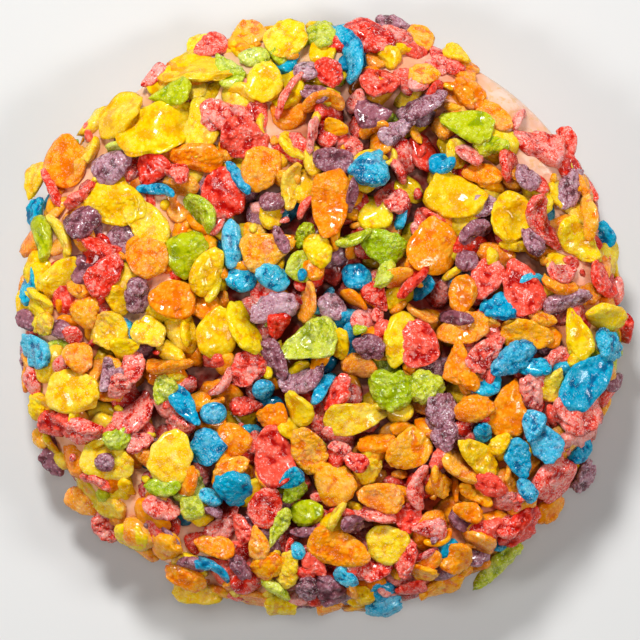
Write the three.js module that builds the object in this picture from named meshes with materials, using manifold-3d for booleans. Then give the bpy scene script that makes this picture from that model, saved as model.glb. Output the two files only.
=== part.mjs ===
// A thick round sugar cookie whose top and sides carry icing and a heap of puffed rice flakes.
// Millimetres, +Z up. The origin is the centre of the flat underside.
// Two solids: the baked cookie, and the topping, which is the icing with its flakes fused on.
import * as THREE from "three";
import { mergeVertices } from "three/addons/utils/BufferGeometryUtils.js";
import Module from "manifold-3d";

// Driving dimensions, in mm.
const COOKIE_RADIUS = 45.5; // at the waist, the widest ring of the side
const COOKIE_HEIGHT = 17;
const WAIST_HEIGHT = 8.5;
const FOOT_RADIUS = 42.3; // of the flat underside
const TOPPING_RADIUS = 47.6;
const TOPPING_HEIGHT = 19.6; // of the packed flakes, under the ones that stand out
const ICING_LIP_RADIUS = 46.6;
const ICING_LIP_HEIGHT = 4.6; // of the icing's lower edge
const ICING_DRIP = 1.1; // how far the lower edge wanders up and down
const CLEARANCE = 0.3; // between the cookie and the topping
const DOME_FLATNESS = 4; // the power of the dome's superellipse: higher is flatter

// How finely the round bodies are divided.
const ROUND_STEPS = 36;
const DOME_STEPS = 7;
const SIDE_STEPS = 3;

// Puffed flakes: thickness in mm, how much a flake narrows towards one end, and how it curls.
const SHAPES = {
  disc: { thickness: 2, taper: 0, curl: 0.07 },
  clump: { thickness: 3, taper: 0.15, curl: 0 },
  shard: { thickness: 1.7, taper: 0.45, curl: 0.1 },
};
const LEVEL_LIFT = [0.1, 0.7, 1.35]; // mm from the bed to a flake's middle, by how many it is on
const TILT = 13; // degrees, the most that a flake rocks from its seat
const BED_LEAN = 0.5; // share of the bed's slope that a flake on the top follows
const STEEPEST_BED = 1.3; // slope near the rim past which flakes stop following
const LARGE_FLAKE = 5.2; // mm of length, over which a flake has more sides
const CURL_RANGE = [-0.4, 1.6]; // times its shape's curl: most flakes cup upwards
const MIDDLE_SWELL = 0.12; // how much fuller than a sphere's a flake's middle is
const MEAN_SQUARE = 1 / 3; // of a place along a flake, from -1 to 1: a curl keeps its middle
const RIM_SHARE = 0.985; // share of the radius past which flakes on the top don't sink further

// The largest flakes, by colour. Each row: shape, x and y of its middle, length, width, turn of
// its length from +X in degrees, and how many other flakes it lies on.
const LARGEST_FLAKES = {
  yellow: [
    ["disc", -31.9, 31.6, 8.1, 7.4, 10, 1], ["disc", -20.2, 39.5, 8, 5.4, 15, 1],
    ["clump", -24.9, 30.5, 9, 7, -10, 0], ["disc", -5.9, 44, 7, 6.4, -40, 1],
    ["disc", -8.6, 37.2, 6.6, 6.2, 90, 2], ["disc", -32.3, 18.7, 7, 5.4, -40, 1],
    ["disc", -27.8, 15.5, 8.5, 5.6, -45, 1], ["disc", 8.6, 16.3, 5.8, 5.6, 0, 1],
    ["disc", 21.4, 18.8, 10, 6.4, -15, 1], ["disc", 29.9, 15.8, 8.5, 6.5, 75, 0],
    ["disc", 40.9, 12.2, 8.6, 5, -48, 1], ["disc", -41.5, 6.1, 8, 3.4, 40, 2],
    ["disc", -17.7, 7.4, 7.8, 4.4, 65, 2], ["disc", -33.5, -2.2, 6.4, 6.2, 30, 1],
    ["disc", -27, -2.4, 6.4, 5, -20, 2], ["disc", -16.3, -2.2, 8, 6.2, 80, 1],
    ["disc", -12.2, -1.8, 9.4, 3.8, -62, 2], ["disc", -39.1, -11.9, 9, 6.8, -15, 1],
    ["disc", -33.9, -23, 8.4, 6.4, -15, 0], ["disc", -23.6, -22.1, 9.4, 7, 85, 2],
    ["disc", -30.1, -35.1, 6.4, 5, 10, 1], ["disc", 12.3, -3.6, 8.4, 4.6, 75, 0],
    ["disc", -3.7, -14.3, 6.4, 4.8, -60, 1], ["shard", 6, -16, 10, 4.8, 10, 2],
    ["disc", 24.8, -22.1, 8.8, 4.4, -35, 2], ["disc", 10.2, -35.8, 6.6, 6, -30, 2],
    ["shard", 40.7, -2.7, 8.2, 3.8, -75, 2], ["disc", 45, -0.4, 7.4, 3.6, -35, 1],
    ["disc", -6.4, -46.3, 5.6, 4.6, 10, 0],
  ],
  orange: [
    ["disc", 1.4, 18.1, 10.8, 5.6, 90, 2], ["disc", -9.5, 23.5, 7, 6.6, 80, 2],
    ["shard", -11.5, 45.3, 6, 5.4, 90, 1], ["disc", 15.9, 44.4, 5.5, 4.5, 90, 1],
    ["disc", 16.2, 38.2, 5.8, 4.5, 80, 1], ["disc", 23.6, 35.4, 6, 4.2, -20, 1],
    ["disc", 27.7, 31.8, 6.4, 4.4, -35, 1], ["disc", 25.7, 22.6, 6.8, 4.2, -25, 1],
    ["disc", 42.7, 16.3, 8, 3.6, 85, 1], ["disc", -41.5, 23.8, 5.6, 5.4, 90, 1],
    ["disc", -20.6, 25.2, 8, 3.8, 0, 0], ["disc", -27.4, 9.5, 7, 6.2, -15, 1],
    ["disc", -23.6, 2.7, 6.6, 6.4, 0, 1], ["shard", -8.2, 10.8, 8.6, 5.4, 20, 1],
    ["disc", 17.6, 11.2, 9.4, 8, 80, 1], ["disc", -38.6, -6.2, 5, 4.8, 0, 1],
    ["disc", 22.3, 3.4, 6.6, 4.4, 75, 2], ["disc", 22.5, -1.8, 8.4, 5, 10, 0],
    ["shard", 21.6, -6.9, 7, 4, 80, 2], ["disc", 32.6, -2.9, 8.6, 5, -10, 1],
    ["shard", 29.7, -14.3, 8.4, 5.4, 75, 2], ["disc", -13.6, -19.4, 5.4, 5, 0, 1],
    ["disc", -1.9, -21, 8.2, 5, -70, 1], ["clump", 1.9, -25.9, 7.6, 6, -55, 2],
    ["disc", 8.9, -19.9, 7, 3.6, 5, 2], ["disc", 13.8, -21, 8.2, 6, 40, 2],
    ["disc", 9.6, -28.2, 8, 4.8, -10, 2], ["disc", 2.6, -36.7, 9.6, 5.8, -15, 2],
    ["disc", 21.5, -38.3, 5.6, 5.6, 0, 2], ["disc", 36.7, -30.4, 6.2, 4, 15, 0],
    ["disc", 19.4, -43, 7.4, 4, 10, 0], ["disc", -38.4, -29.5, 6.4, 4.6, -10, 1],
    ["clump", -24, -36.5, 5.8, 5, 90, 1], ["disc", -21.3, -41.4, 7, 4.2, -5, 1],
  ],
  red: [
    ["clump", -15.1, 31.4, 8.6, 5.6, -10, 1], ["clump", -12, 28.2, 8, 5.6, -25, 1],
    ["disc", -15.7, 19.7, 8, 7.2, 90, 1], ["shard", -26.7, 23.5, 5.8, 5, 60, 2],
    ["clump", 7.8, 44.6, 8.5, 5.5, -45, 1], ["disc", 9.3, 37.2, 7, 5.6, 15, 1],
    ["clump", 35, 26.9, 9.5, 5.6, -15, 1], ["disc", 35.5, 14.9, 11, 3.4, -65, 2],
    ["disc", 45, 6.3, 7.4, 7, 0, 2], ["disc", 31.9, 4.5, 8.8, 6.4, -70, 2],
    ["disc", 26.3, 5.9, 7, 5, 50, 1], ["disc", -34.1, 6.8, 8, 4.6, 50, 2],
    ["disc", 15.5, -4, 8, 6.2, -70, 2], ["clump", -11.5, -8.7, 6.2, 5, 60, 1],
    ["clump", 2.6, -11.9, 6.2, 4, 55, 2], ["clump", -41.9, -17.1, 7, 5, 20, 1],
    ["clump", -37.3, -18, 6.5, 4.6, 10, 1], ["disc", -7.7, -21.7, 9.6, 6.6, -80, 2],
    ["disc", -8.8, -30, 6.8, 5, 70, 2], ["disc", -25.2, -30.2, 6.4, 3.8, -5, 1],
    ["disc", 26.1, -5.8, 8, 4, 45, 1], ["clump", 40.7, -15.2, 10, 6, 15, 0],
    ["clump", 40.2, -19.2, 8.4, 5, 10, 1], ["clump", 36.9, -25.7, 7.4, 6.4, 20, 1],
  ],
  blue: [
    ["clump", 8.2, 23.5, 6.6, 6.4, 60, 2], ["disc", -7.7, 6.3, 6, 4.2, -15, 2],
    ["disc", -46.4, 5.2, 7.4, 4.4, 80, 1], ["disc", -45.1, -5.8, 7.6, 5, -25, 1],
    ["shard", -21.1, -14.3, 7.8, 3.2, -60, 2], ["disc", -17.8, -20.8, 6, 5.2, 60, 1],
    ["clump", -13.8, -27.3, 6.6, 5.4, -60, 2], ["clump", 30.1, -6.7, 7.6, 4, 30, 2],
    ["disc", 42, -10.3, 10.6, 6.2, 48, 2], ["clump", 45.9, -4.5, 6, 5, -45, 2],
    ["disc", 34.6, -19.4, 8.6, 4.4, -55, 1], ["disc", 31.3, -22.3, 6.4, 4, -70, 2],
    ["clump", 10.2, -46.1, 7.6, 4, 20, 0],
  ],
  green: [
    ["shard", -23.6, 35.4, 7.4, 3.8, 0, 1], ["disc", 0.4, 44.9, 6.9, 4.8, 90, 1],
    ["shard", -14.7, 39, 6.8, 3.6, -60, 1], ["shard", 23.2, 30.3, 9.4, 5, -15, 2],
    ["clump", -20.9, 10.1, 7, 6.8, 40, 1], ["disc", -44.2, 12.2, 7.4, 3.8, 90, 1],
    ["clump", 9.8, 11.3, 6.6, 5.4, -15, 2], ["shard", -1.9, -3.8, 11, 5.6, 25, 2],
    ["clump", 11.4, -11.4, 7, 6.6, 90, 2], ["clump", 16.7, -11, 6, 5.4, 0, 1],
    ["clump", 28.6, -39.6, 10, 3.4, 38, 0],
  ],
  purple: [
    ["clump", -33, 24, 5.8, 5.6, 30, 1], ["clump", -37.7, 15.1, 6, 5, 30, 1],
    ["disc", 1.9, 24.7, 6.5, 4.2, -10, 1], ["shard", 8.2, 32.1, 5.6, 4.4, 0, 1],
    ["clump", 39.6, 20.8, 8.2, 3.8, 60, 1], ["clump", -28.8, 3.2, 6.4, 4, 85, 2],
    ["clump", -7.7, 1.2, 8.4, 4.6, 20, 0], ["disc", 7.5, -5.1, 5.2, 4.6, -30, 1],
    ["clump", 18.9, -14.8, 5.6, 5.6, 0, 1], ["clump", 1.3, -43.4, 7, 4.4, -60, 1],
    ["clump", 42, -25.5, 6.4, 4, 55, 0],
  ],
};

// The smaller ones between them follow a sunflower spiral, and rows go round the side.
const SMALL_SEATS = 150; // on the spiral, before the taken ones are left out
const SMALL_REACH = 46; // mm from the middle to the last seat
const SMALL_LENGTH = [4, 6];
const SMALL_WIDTH_SHARE = [0.6, 0.9];
const SMALL_CLUMPS = 0.3; // share of them that are clumps, not discs
const SEAT_WANDER = 1; // mm, in or out from the spiral
const TAKEN_SHARE = 0.6; // share of a large flake's size that keeps others off
const SIDE_ROWS = [12.6, 8.2]; // heights of the rows on the side
const SIDE_ROW_WANDER = 2; // mm, up and down together
const SIDE_FLAKES = 18; // in each row
const SIDE_LIFT = 0.3; // mm from the icing to a side flake's middle
const SEED = 20;

const wasm = await Module();
wasm.setup();

const radians = THREE.MathUtils.degToRad;

// A repeatable random draw from 0 to 1: the remainder chain of Park and Miller.
let chain = SEED;
function draw() {
  const [factor, modulus] = [16807, 2147483647];
  chain = (chain * factor) % modulus;
  return chain / modulus;
}

function drawIn([low, high]) {
  return low + (high - low) * draw();
}

// The outline isn't a true circle: a few slow waves, as a share of the radius.
function outline(angle) {
  return (
    1 +
    0.011 * Math.cos(2 * angle) +
    0.005 * Math.cos(3 * angle - 2.2) +
    0.003 * Math.cos(7 * angle + 0.9)
  );
}

// Height of a dome from its widest ring to its top, at a share of its radius.
function domeHeight(share, top) {
  const rise = Math.sqrt(Math.max(0, 1 - share ** DOME_FLATNESS));
  return WAIST_HEIGHT + (top - WAIST_HEIGHT) * rise;
}

// The share of the radius at which a dome has a height: the inverse of domeHeight.
function domeShare(height, top) {
  const rise = Math.max(0, (height - WAIST_HEIGHT) / (top - WAIST_HEIGHT));
  return (1 - rise ** 2) ** (1 / DOME_FLATNESS);
}

// A body turned about Z from a half section of [radius, height] pairs, on the uneven outline.
function turned(section, rise = () => 0) {
  const points = section.map(([radius, height]) => new THREE.Vector2(radius, height));
  const geometry = new THREE.LatheGeometry(points, ROUND_STEPS).rotateX(Math.PI / 2);
  const position = geometry.getAttribute("position");
  for (let i = 0; i < position.count; i++) {
    const [x, y, z] = [position.getX(i), position.getY(i), position.getZ(i)];
    const angle = Math.atan2(y, x);
    position.setXYZ(i, x * outline(angle), y * outline(angle), z + rise(angle, z));
  }
  return geometry;
}

// Half section of a dome from its widest ring up to the axis.
function domeSection(radius, top) {
  return Array.from({ length: DOME_STEPS + 1 }, (_, i) => {
    const rise = Math.sin((Math.PI / 2) * (i / DOME_STEPS));
    const height = WAIST_HEIGHT + (top - WAIST_HEIGHT) * rise;
    return [radius * domeShare(height, top), height];
  });
}

// The baked cookie's half section, grown by a gap: flat foot, bellied side, then the dome.
function cookieSection(gap) {
  const belly = COOKIE_RADIUS - FOOT_RADIUS;
  const side = Array.from({ length: SIDE_STEPS }, (_, i) => {
    const swing = (Math.PI / 2) * (i / SIDE_STEPS);
    return [FOOT_RADIUS + gap + belly * Math.sin(swing), WAIST_HEIGHT * (1 - Math.cos(swing))];
  });
  side[0][1] -= gap;
  return [[0, -gap], ...side, ...domeSection(COOKIE_RADIUS + gap, COOKIE_HEIGHT + gap)];
}

// Icing and packed flakes as one full body, before the cookie is cut out of it.
function toppingSection() {
  const lip = [ICING_LIP_RADIUS, ICING_LIP_HEIGHT];
  return [[0, ICING_LIP_HEIGHT], lip, ...domeSection(TOPPING_RADIUS, TOPPING_HEIGHT)];
}

// How far the icing's lower edge has run down or drawn up at an angle.
function lipRise(angle, height) {
  const wander = (Math.sin(3 * angle + 0.4) + Math.sin(8 * angle + 1.7)) / 2;
  return height > ICING_LIP_HEIGHT ? 0 : ICING_DRIP * wander;
}

// The bed is the surface that flakes on the top are seated on.
function bedHeight(x, y) {
  const reach = TOPPING_RADIUS * outline(Math.atan2(y, x));
  return domeHeight(Math.min(Math.hypot(x, y) / reach, RIM_SHARE), TOPPING_HEIGHT);
}

// The way that a flake seated on the bed faces.
function bedNormal(x, y) {
  const step = 0.4;
  const slope = new THREE.Vector2(
    (bedHeight(x - step, y) - bedHeight(x + step, y)) / (2 * step),
    (bedHeight(x, y - step) - bedHeight(x, y + step)) / (2 * step),
  );
  slope.clampLength(0, STEEPEST_BED).multiplyScalar(BED_LEAN);
  return new THREE.Vector3(slope.x, slope.y, 1).normalize();
}

// A flake with its rocking and curl drawn, before it has a place.
function flakeOf(shape, length, width, turn, level) {
  const [roll, pitch] = [TILT * (2 * draw() - 1), TILT * (2 * draw() - 1)];
  const curl = SHAPES[shape].curl * drawIn(CURL_RANGE);
  return { shape, length, width, turn: radians(turn), level, roll, pitch, curl };
}

// A small flake of a drawn size and turn.
function smallFlake(shape) {
  const length = drawIn(SMALL_LENGTH);
  const width = length * drawIn(SMALL_WIDTH_SHARE);
  return flakeOf(shape, length, width, 180 * draw(), Math.round(draw()));
}

// Seats a flake on the top, lifted by its level.
function onTop(flake, x, y) {
  return {
    ...flake,
    middle: new THREE.Vector3(x, y, bedHeight(x, y) + LEVEL_LIFT[flake.level]),
    normal: bedNormal(x, y),
    along: new THREE.Vector3(Math.cos(flake.turn), Math.sin(flake.turn), 0),
  };
}

// Seats a flake on the side, flat against the icing.
function onSide(flake, angle, height) {
  const radius = TOPPING_RADIUS * outline(angle) * domeShare(height, TOPPING_HEIGHT);
  const outwards = new THREE.Vector3(Math.cos(angle), Math.sin(angle), 0);
  const round = new THREE.Vector3(-outwards.y, outwards.x, 0);
  return {
    ...flake,
    middle: outwards.clone().multiplyScalar(radius + SIDE_LIFT).setZ(height),
    normal: outwards,
    along: round.multiplyScalar(Math.cos(flake.turn)).setZ(Math.sin(flake.turn)),
  };
}

function largestFlakes() {
  return Object.values(LARGEST_FLAKES)
    .flat()
    .map(([shape, x, y, length, width, turn, level]) =>
      onTop(flakeOf(shape, length, width, turn, level), x, y),
    );
}

// Small flakes in the gaps that the given ones leave on the top.
function smallFlakes(largest) {
  const isFree = ({ middle: { x, y } }) =>
    largest.every(
      ({ middle, length, width }) =>
        Math.hypot(middle.x - x, middle.y - y) > TAKEN_SHARE * Math.sqrt(length * width),
    );
  const goldenAngle = Math.PI * (3 - Math.sqrt(5));
  return Array.from({ length: SMALL_SEATS }, (_, i) => {
    const share = Math.sqrt((i + 0.5) / SMALL_SEATS);
    const radius = SMALL_REACH * share + SEAT_WANDER * (draw() - 0.5);
    const [x, y] = [radius * Math.cos(i * goldenAngle), radius * Math.sin(i * goldenAngle)];
    return onTop(smallFlake(draw() < SMALL_CLUMPS ? "clump" : "disc"), x, y);
  }).filter(isFree);
}

function sideFlakes() {
  return SIDE_ROWS.flatMap((height, row) =>
    Array.from({ length: SIDE_FLAKES }, (_, i) => {
      const angle = ((i + 0.5 * row + 0.5 * draw()) / SIDE_FLAKES) * 2 * Math.PI;
      return onSide(smallFlake("disc"), angle, height + SIDE_ROW_WANDER * (draw() - 0.5));
    }),
  );
}

// A faceted flake: a sphere with its poles along X, drawn out, tapered and curled.
function flakeGeometry(flake) {
  const { thickness, taper } = SHAPES[flake.shape];
  const sides = flake.length > LARGE_FLAKE ? 6 : 5;
  const geometry = new THREE.SphereGeometry(1, sides, 3).rotateZ(Math.PI / 2);
  const position = geometry.getAttribute("position");
  for (let i = 0; i < position.count; i++) {
    const s = position.getX(i);
    const girth = 1 + MIDDLE_SWELL * (1 - s * s) - taper * s;
    const cup = flake.curl * flake.length * (s * s - MEAN_SQUARE);
    position.setXYZ(
      i,
      (s * flake.length) / 2,
      (position.getY(i) * girth * flake.width) / 2,
      (position.getZ(i) * girth * thickness) / 2 + cup,
    );
  }
  const ex = flake.along.clone().projectOnPlane(flake.normal).normalize();
  const ey = new THREE.Vector3().crossVectors(flake.normal, ex);
  const seat = new THREE.Matrix4().makeBasis(ex, ey, flake.normal).setPosition(flake.middle);
  seat.multiply(new THREE.Matrix4().makeRotationX(radians(flake.roll)));
  seat.multiply(new THREE.Matrix4().makeRotationY(radians(flake.pitch)));
  return geometry.applyMatrix4(seat);
}

// A closed geometry as a solid that can be joined and cut.
function solidOf(geometry) {
  const bare = geometry.clone();
  bare.deleteAttribute("normal");
  bare.deleteAttribute("uv");
  const { index, attributes } = mergeVertices(bare, 1e-4);
  const corners = Array.from(index.array);
  const faces = [];
  for (let i = 0; i < corners.length; i += 3) {
    const [a, b, c] = corners.slice(i, i + 3);
    if (a !== b && b !== c && c !== a) faces.push(a, b, c);
  }
  return new wasm.Manifold(
    new wasm.Mesh({
      numProp: 3,
      vertProperties: attributes.position.array,
      triVerts: Uint32Array.from(faces),
    }),
  );
}

// A solid's outer shell as a mesh. Sealed hollows and loose scraps are shells of their own, so
// the largest shell is the whole piece without them.
function meshOf(solid, name, material) {
  const [largest] = solid.decompose().sort((a, b) => b.volume() - a.volume());
  const { numProp, vertProperties, triVerts } = largest.getMesh();
  const geometry = new THREE.BufferGeometry();
  geometry.setAttribute("position", new THREE.BufferAttribute(vertProperties, numProp));
  geometry.setIndex(new THREE.BufferAttribute(triVerts, 1));
  geometry.computeVertexNormals();
  const mesh = new THREE.Mesh(geometry, material);
  mesh.name = name;
  return mesh;
}

function cookieMesh() {
  const baked = new THREE.MeshStandardMaterial({ color: 0xd9a867, roughness: 0.9 });
  return meshOf(solidOf(turned(cookieSection(0))), "cookie", baked);
}

function toppingMesh() {
  const coated = new THREE.MeshStandardMaterial({ color: 0xf59a2c, roughness: 0.6 });
  const largest = largestFlakes();
  const flakes = [...largest, ...smallFlakes(largest), ...sideFlakes()];
  const packed = solidOf(turned(toppingSection(), lipRise));
  const heap = flakes.reduce((sum, flake) => sum.add(solidOf(flakeGeometry(flake))), packed);
  return meshOf(heap.subtract(solidOf(turned(cookieSection(CLEARANCE)))), "topping", coated);
}

const cerealCookie = new THREE.Group();
cerealCookie.add(cookieMesh(), toppingMesh());

export default cerealCookie;
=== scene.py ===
"""A thick round sugar cookie under icing and a heap of puffed rice flakes, seen from above.

The flakes lie where they are heaped one after another on a height map, so that each one rests
on what is under it. All surfaces are whole numpy arrays in metres, in the part's own frame:
the origin is the centre of the flat underside, and +Z points up.
"""

import functools
import math
from dataclasses import dataclass

import bpy
import numpy as np
from bpy.props import FloatProperty, FloatVectorProperty, IntProperty, PointerProperty
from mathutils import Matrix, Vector


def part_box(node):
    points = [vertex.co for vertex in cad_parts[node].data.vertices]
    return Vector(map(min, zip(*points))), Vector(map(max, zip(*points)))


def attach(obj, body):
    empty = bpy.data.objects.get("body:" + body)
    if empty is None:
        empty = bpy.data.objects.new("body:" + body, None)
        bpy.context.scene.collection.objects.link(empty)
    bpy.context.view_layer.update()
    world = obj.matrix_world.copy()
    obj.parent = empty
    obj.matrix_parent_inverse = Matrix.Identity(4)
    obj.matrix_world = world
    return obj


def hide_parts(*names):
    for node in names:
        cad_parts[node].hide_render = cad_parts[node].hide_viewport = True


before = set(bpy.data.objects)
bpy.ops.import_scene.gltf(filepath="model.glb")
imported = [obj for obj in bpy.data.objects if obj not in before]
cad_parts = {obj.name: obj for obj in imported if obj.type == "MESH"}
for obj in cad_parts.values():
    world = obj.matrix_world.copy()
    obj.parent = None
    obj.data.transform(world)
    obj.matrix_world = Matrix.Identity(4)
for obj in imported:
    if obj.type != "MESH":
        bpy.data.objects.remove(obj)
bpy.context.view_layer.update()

bl_info = {
    "name": "Cereal Cookie",
    "version": (1, 0, 0),
    "blender": (4, 5, 0),
    "location": "View3D > Sidebar > Cereal Cookie",
    "description": "Builds an iced cookie heaped with puffed rice flakes, and its studio",
    "category": "Object",
}

MM = 0.001
VIEW_MIDDLE = (-0.1 * MM, -0.5 * MM)  # the place over which the camera hangs

# The cookie's own sizes, from its solid. The outline is an uneven round: see outline().
COOKIE_LOW, COOKIE_HIGH = (Vector(corner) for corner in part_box("cookie"))
OVAL = 0.011
COOKIE_RADIUS = (COOKIE_HIGH.x - COOKIE_LOW.x) / 2 / (1 + OVAL)
COOKIE_TOP = COOKIE_HIGH.z
WAIST_HEIGHT = COOKIE_TOP / 2
FOOT_RADIUS = COOKIE_RADIUS - 3.2 * MM
FOOT_SHARE = 0.985  # how much of that radius the rows of the flat underside fill
DOME_FLATNESS = 4

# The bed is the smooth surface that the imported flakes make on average.
BED_RADIUS = COOKIE_RADIUS + 2.1 * MM
BED_TOP = COOKIE_TOP + 2.6 * MM
LIP_HEIGHT = 4.6 * MM
LIP_RADIUS = BED_RADIUS - 1 * MM
LIP_DRIP = 1.1 * MM
SKIRT_SLOPE = 2.5  # fall of the bed outside its edge


@dataclass(frozen=True)
class Kind:
    """How flakes of one kind are shaped and how they lie. Sizes are in metres and degrees."""

    thickness: float = 0.0  # 0 where it is a share of the width
    thickness_share: float = 0.0
    lean: float = 0.0  # turn about its length, so that a strip stands on its side
    squareness: float = 0.7  # power of the section's height: 1 is an ellipsoid, less is a slab
    taper: float = 0.2
    bend: float = 0.6  # most that its ends turn up, in radians
    lobes: float = 0.12  # depth of the waves in its outline
    blister: float = 0.34 * MM  # height of its bubbles
    rise: float = 0.7  # share of its height that stands over what it lies on


KINDS = {
    "disc": Kind(thickness=1.8 * MM, lobes=0.15),
    "sheet": Kind(
        thickness=1.5 * MM, squareness=0.85, bend=0.12, lobes=0.24, blister=0.22 * MM, rise=0.95,
    ),
    "clump": Kind(
        thickness=3.2 * MM, squareness=0.8, bend=0.25, lobes=0.22, blister=0.55 * MM, rise=0.62,
    ),
    "shard": Kind(thickness=1.6 * MM, taper=0.55, bend=0.7, lobes=0.16, blister=0.28 * MM),
    "strip": Kind(
        thickness_share=0.85, lean=60, taper=0.1, bend=0.8, lobes=0.14, blister=0.3 * MM, rise=0.5,
    ),
    "bead": Kind(
        thickness_share=0.92, squareness=0.95, taper=0, bend=0, lobes=0.08, blister=0.2 * MM,
        rise=0.65,
    ),
    "curl": Kind(
        thickness_share=0.8, lean=20, squareness=0.85, taper=0.05, bend=1.5, lobes=0.09,
        blister=0.2 * MM,
    ),
    "crumb": Kind(thickness_share=0.8, squareness=0.9, bend=0, lobes=0.24, rise=0.5),
}
KIND_NAMES = list(KINDS)


@dataclass(frozen=True)
class Flavour:
    """The finish of one flavour of flake, and how many of the unnamed flakes have it."""

    hollow: tuple  # linear colour between the bubbles, darker partly as painted shade in the creases
    body: tuple
    other: tuple  # the body's colour on the ripest flakes
    frost: tuple  # where sugar has dried on, and the colour of the painted light and highlights on the bubbles
    frosted: float  # how much of the sugar shows, and of the painted sheen and glints that go with it
    painted_glow: float  # how much paler the tops of the bubbles are: painted light, as if lit through, which also sets the painted highlights on them
    rough: float  # height of its bubbles as a share of its kind's
    share: float
    lean: float  # how much commoner it is at the upper left than at the lower right


FLAVOURS = {
    "red": Flavour(
        hollow=(0.46, 0.003, 0.001), body=(0.86, 0.034, 0.012), other=(0.93, 0.09, 0.05),
        frost=(1.0, 0.42, 0.33), frosted=0.62, painted_glow=0.26, rough=0.8, share=0.28, lean=-0.19),
    "orange": Flavour(
        hollow=(0.82, 0.17, 0.0), body=(0.97, 0.26, 0.0), other=(1.0, 0.39, 0.001),
        frost=(1.0, 0.58, 0.05), frosted=0.3, painted_glow=0.42, rough=0.55, share=0.3, lean=-0.06),
    "yellow": Flavour(
        hollow=(0.8, 0.38, 0.0), body=(0.95, 0.55, 0.0), other=(0.9, 0.62, 0.0),
        frost=(1.0, 0.83, 0.07), frosted=0.28, painted_glow=0.5, rough=0.5, share=0.27, lean=0.18),
    "green": Flavour(
        hollow=(0.28, 0.35, 0.0), body=(0.5, 0.54, 0.001), other=(0.34, 0.47, 0.0),
        frost=(0.82, 0.85, 0.11), frosted=0.4, painted_glow=0.3, rough=0.8, share=0.035, lean=0.02),
    "blue": Flavour(
        hollow=(0.0, 0.12, 0.27), body=(0.0, 0.31, 0.54), other=(0.0, 0.4, 0.6),
        frost=(0.17, 0.7, 0.88), frosted=0.38, painted_glow=0.24, rough=0.65, share=0.05, lean=0.0),
    "purple": Flavour(
        hollow=(0.12, 0.03, 0.04), body=(0.27, 0.08, 0.105), other=(0.34, 0.115, 0.15),
        frost=(0.72, 0.43, 0.51), frosted=0.5, painted_glow=0.24, rough=0.9, share=0.065, lean=0.0),
}
FLAVOUR_NAMES = list(FLAVOURS)

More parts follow.
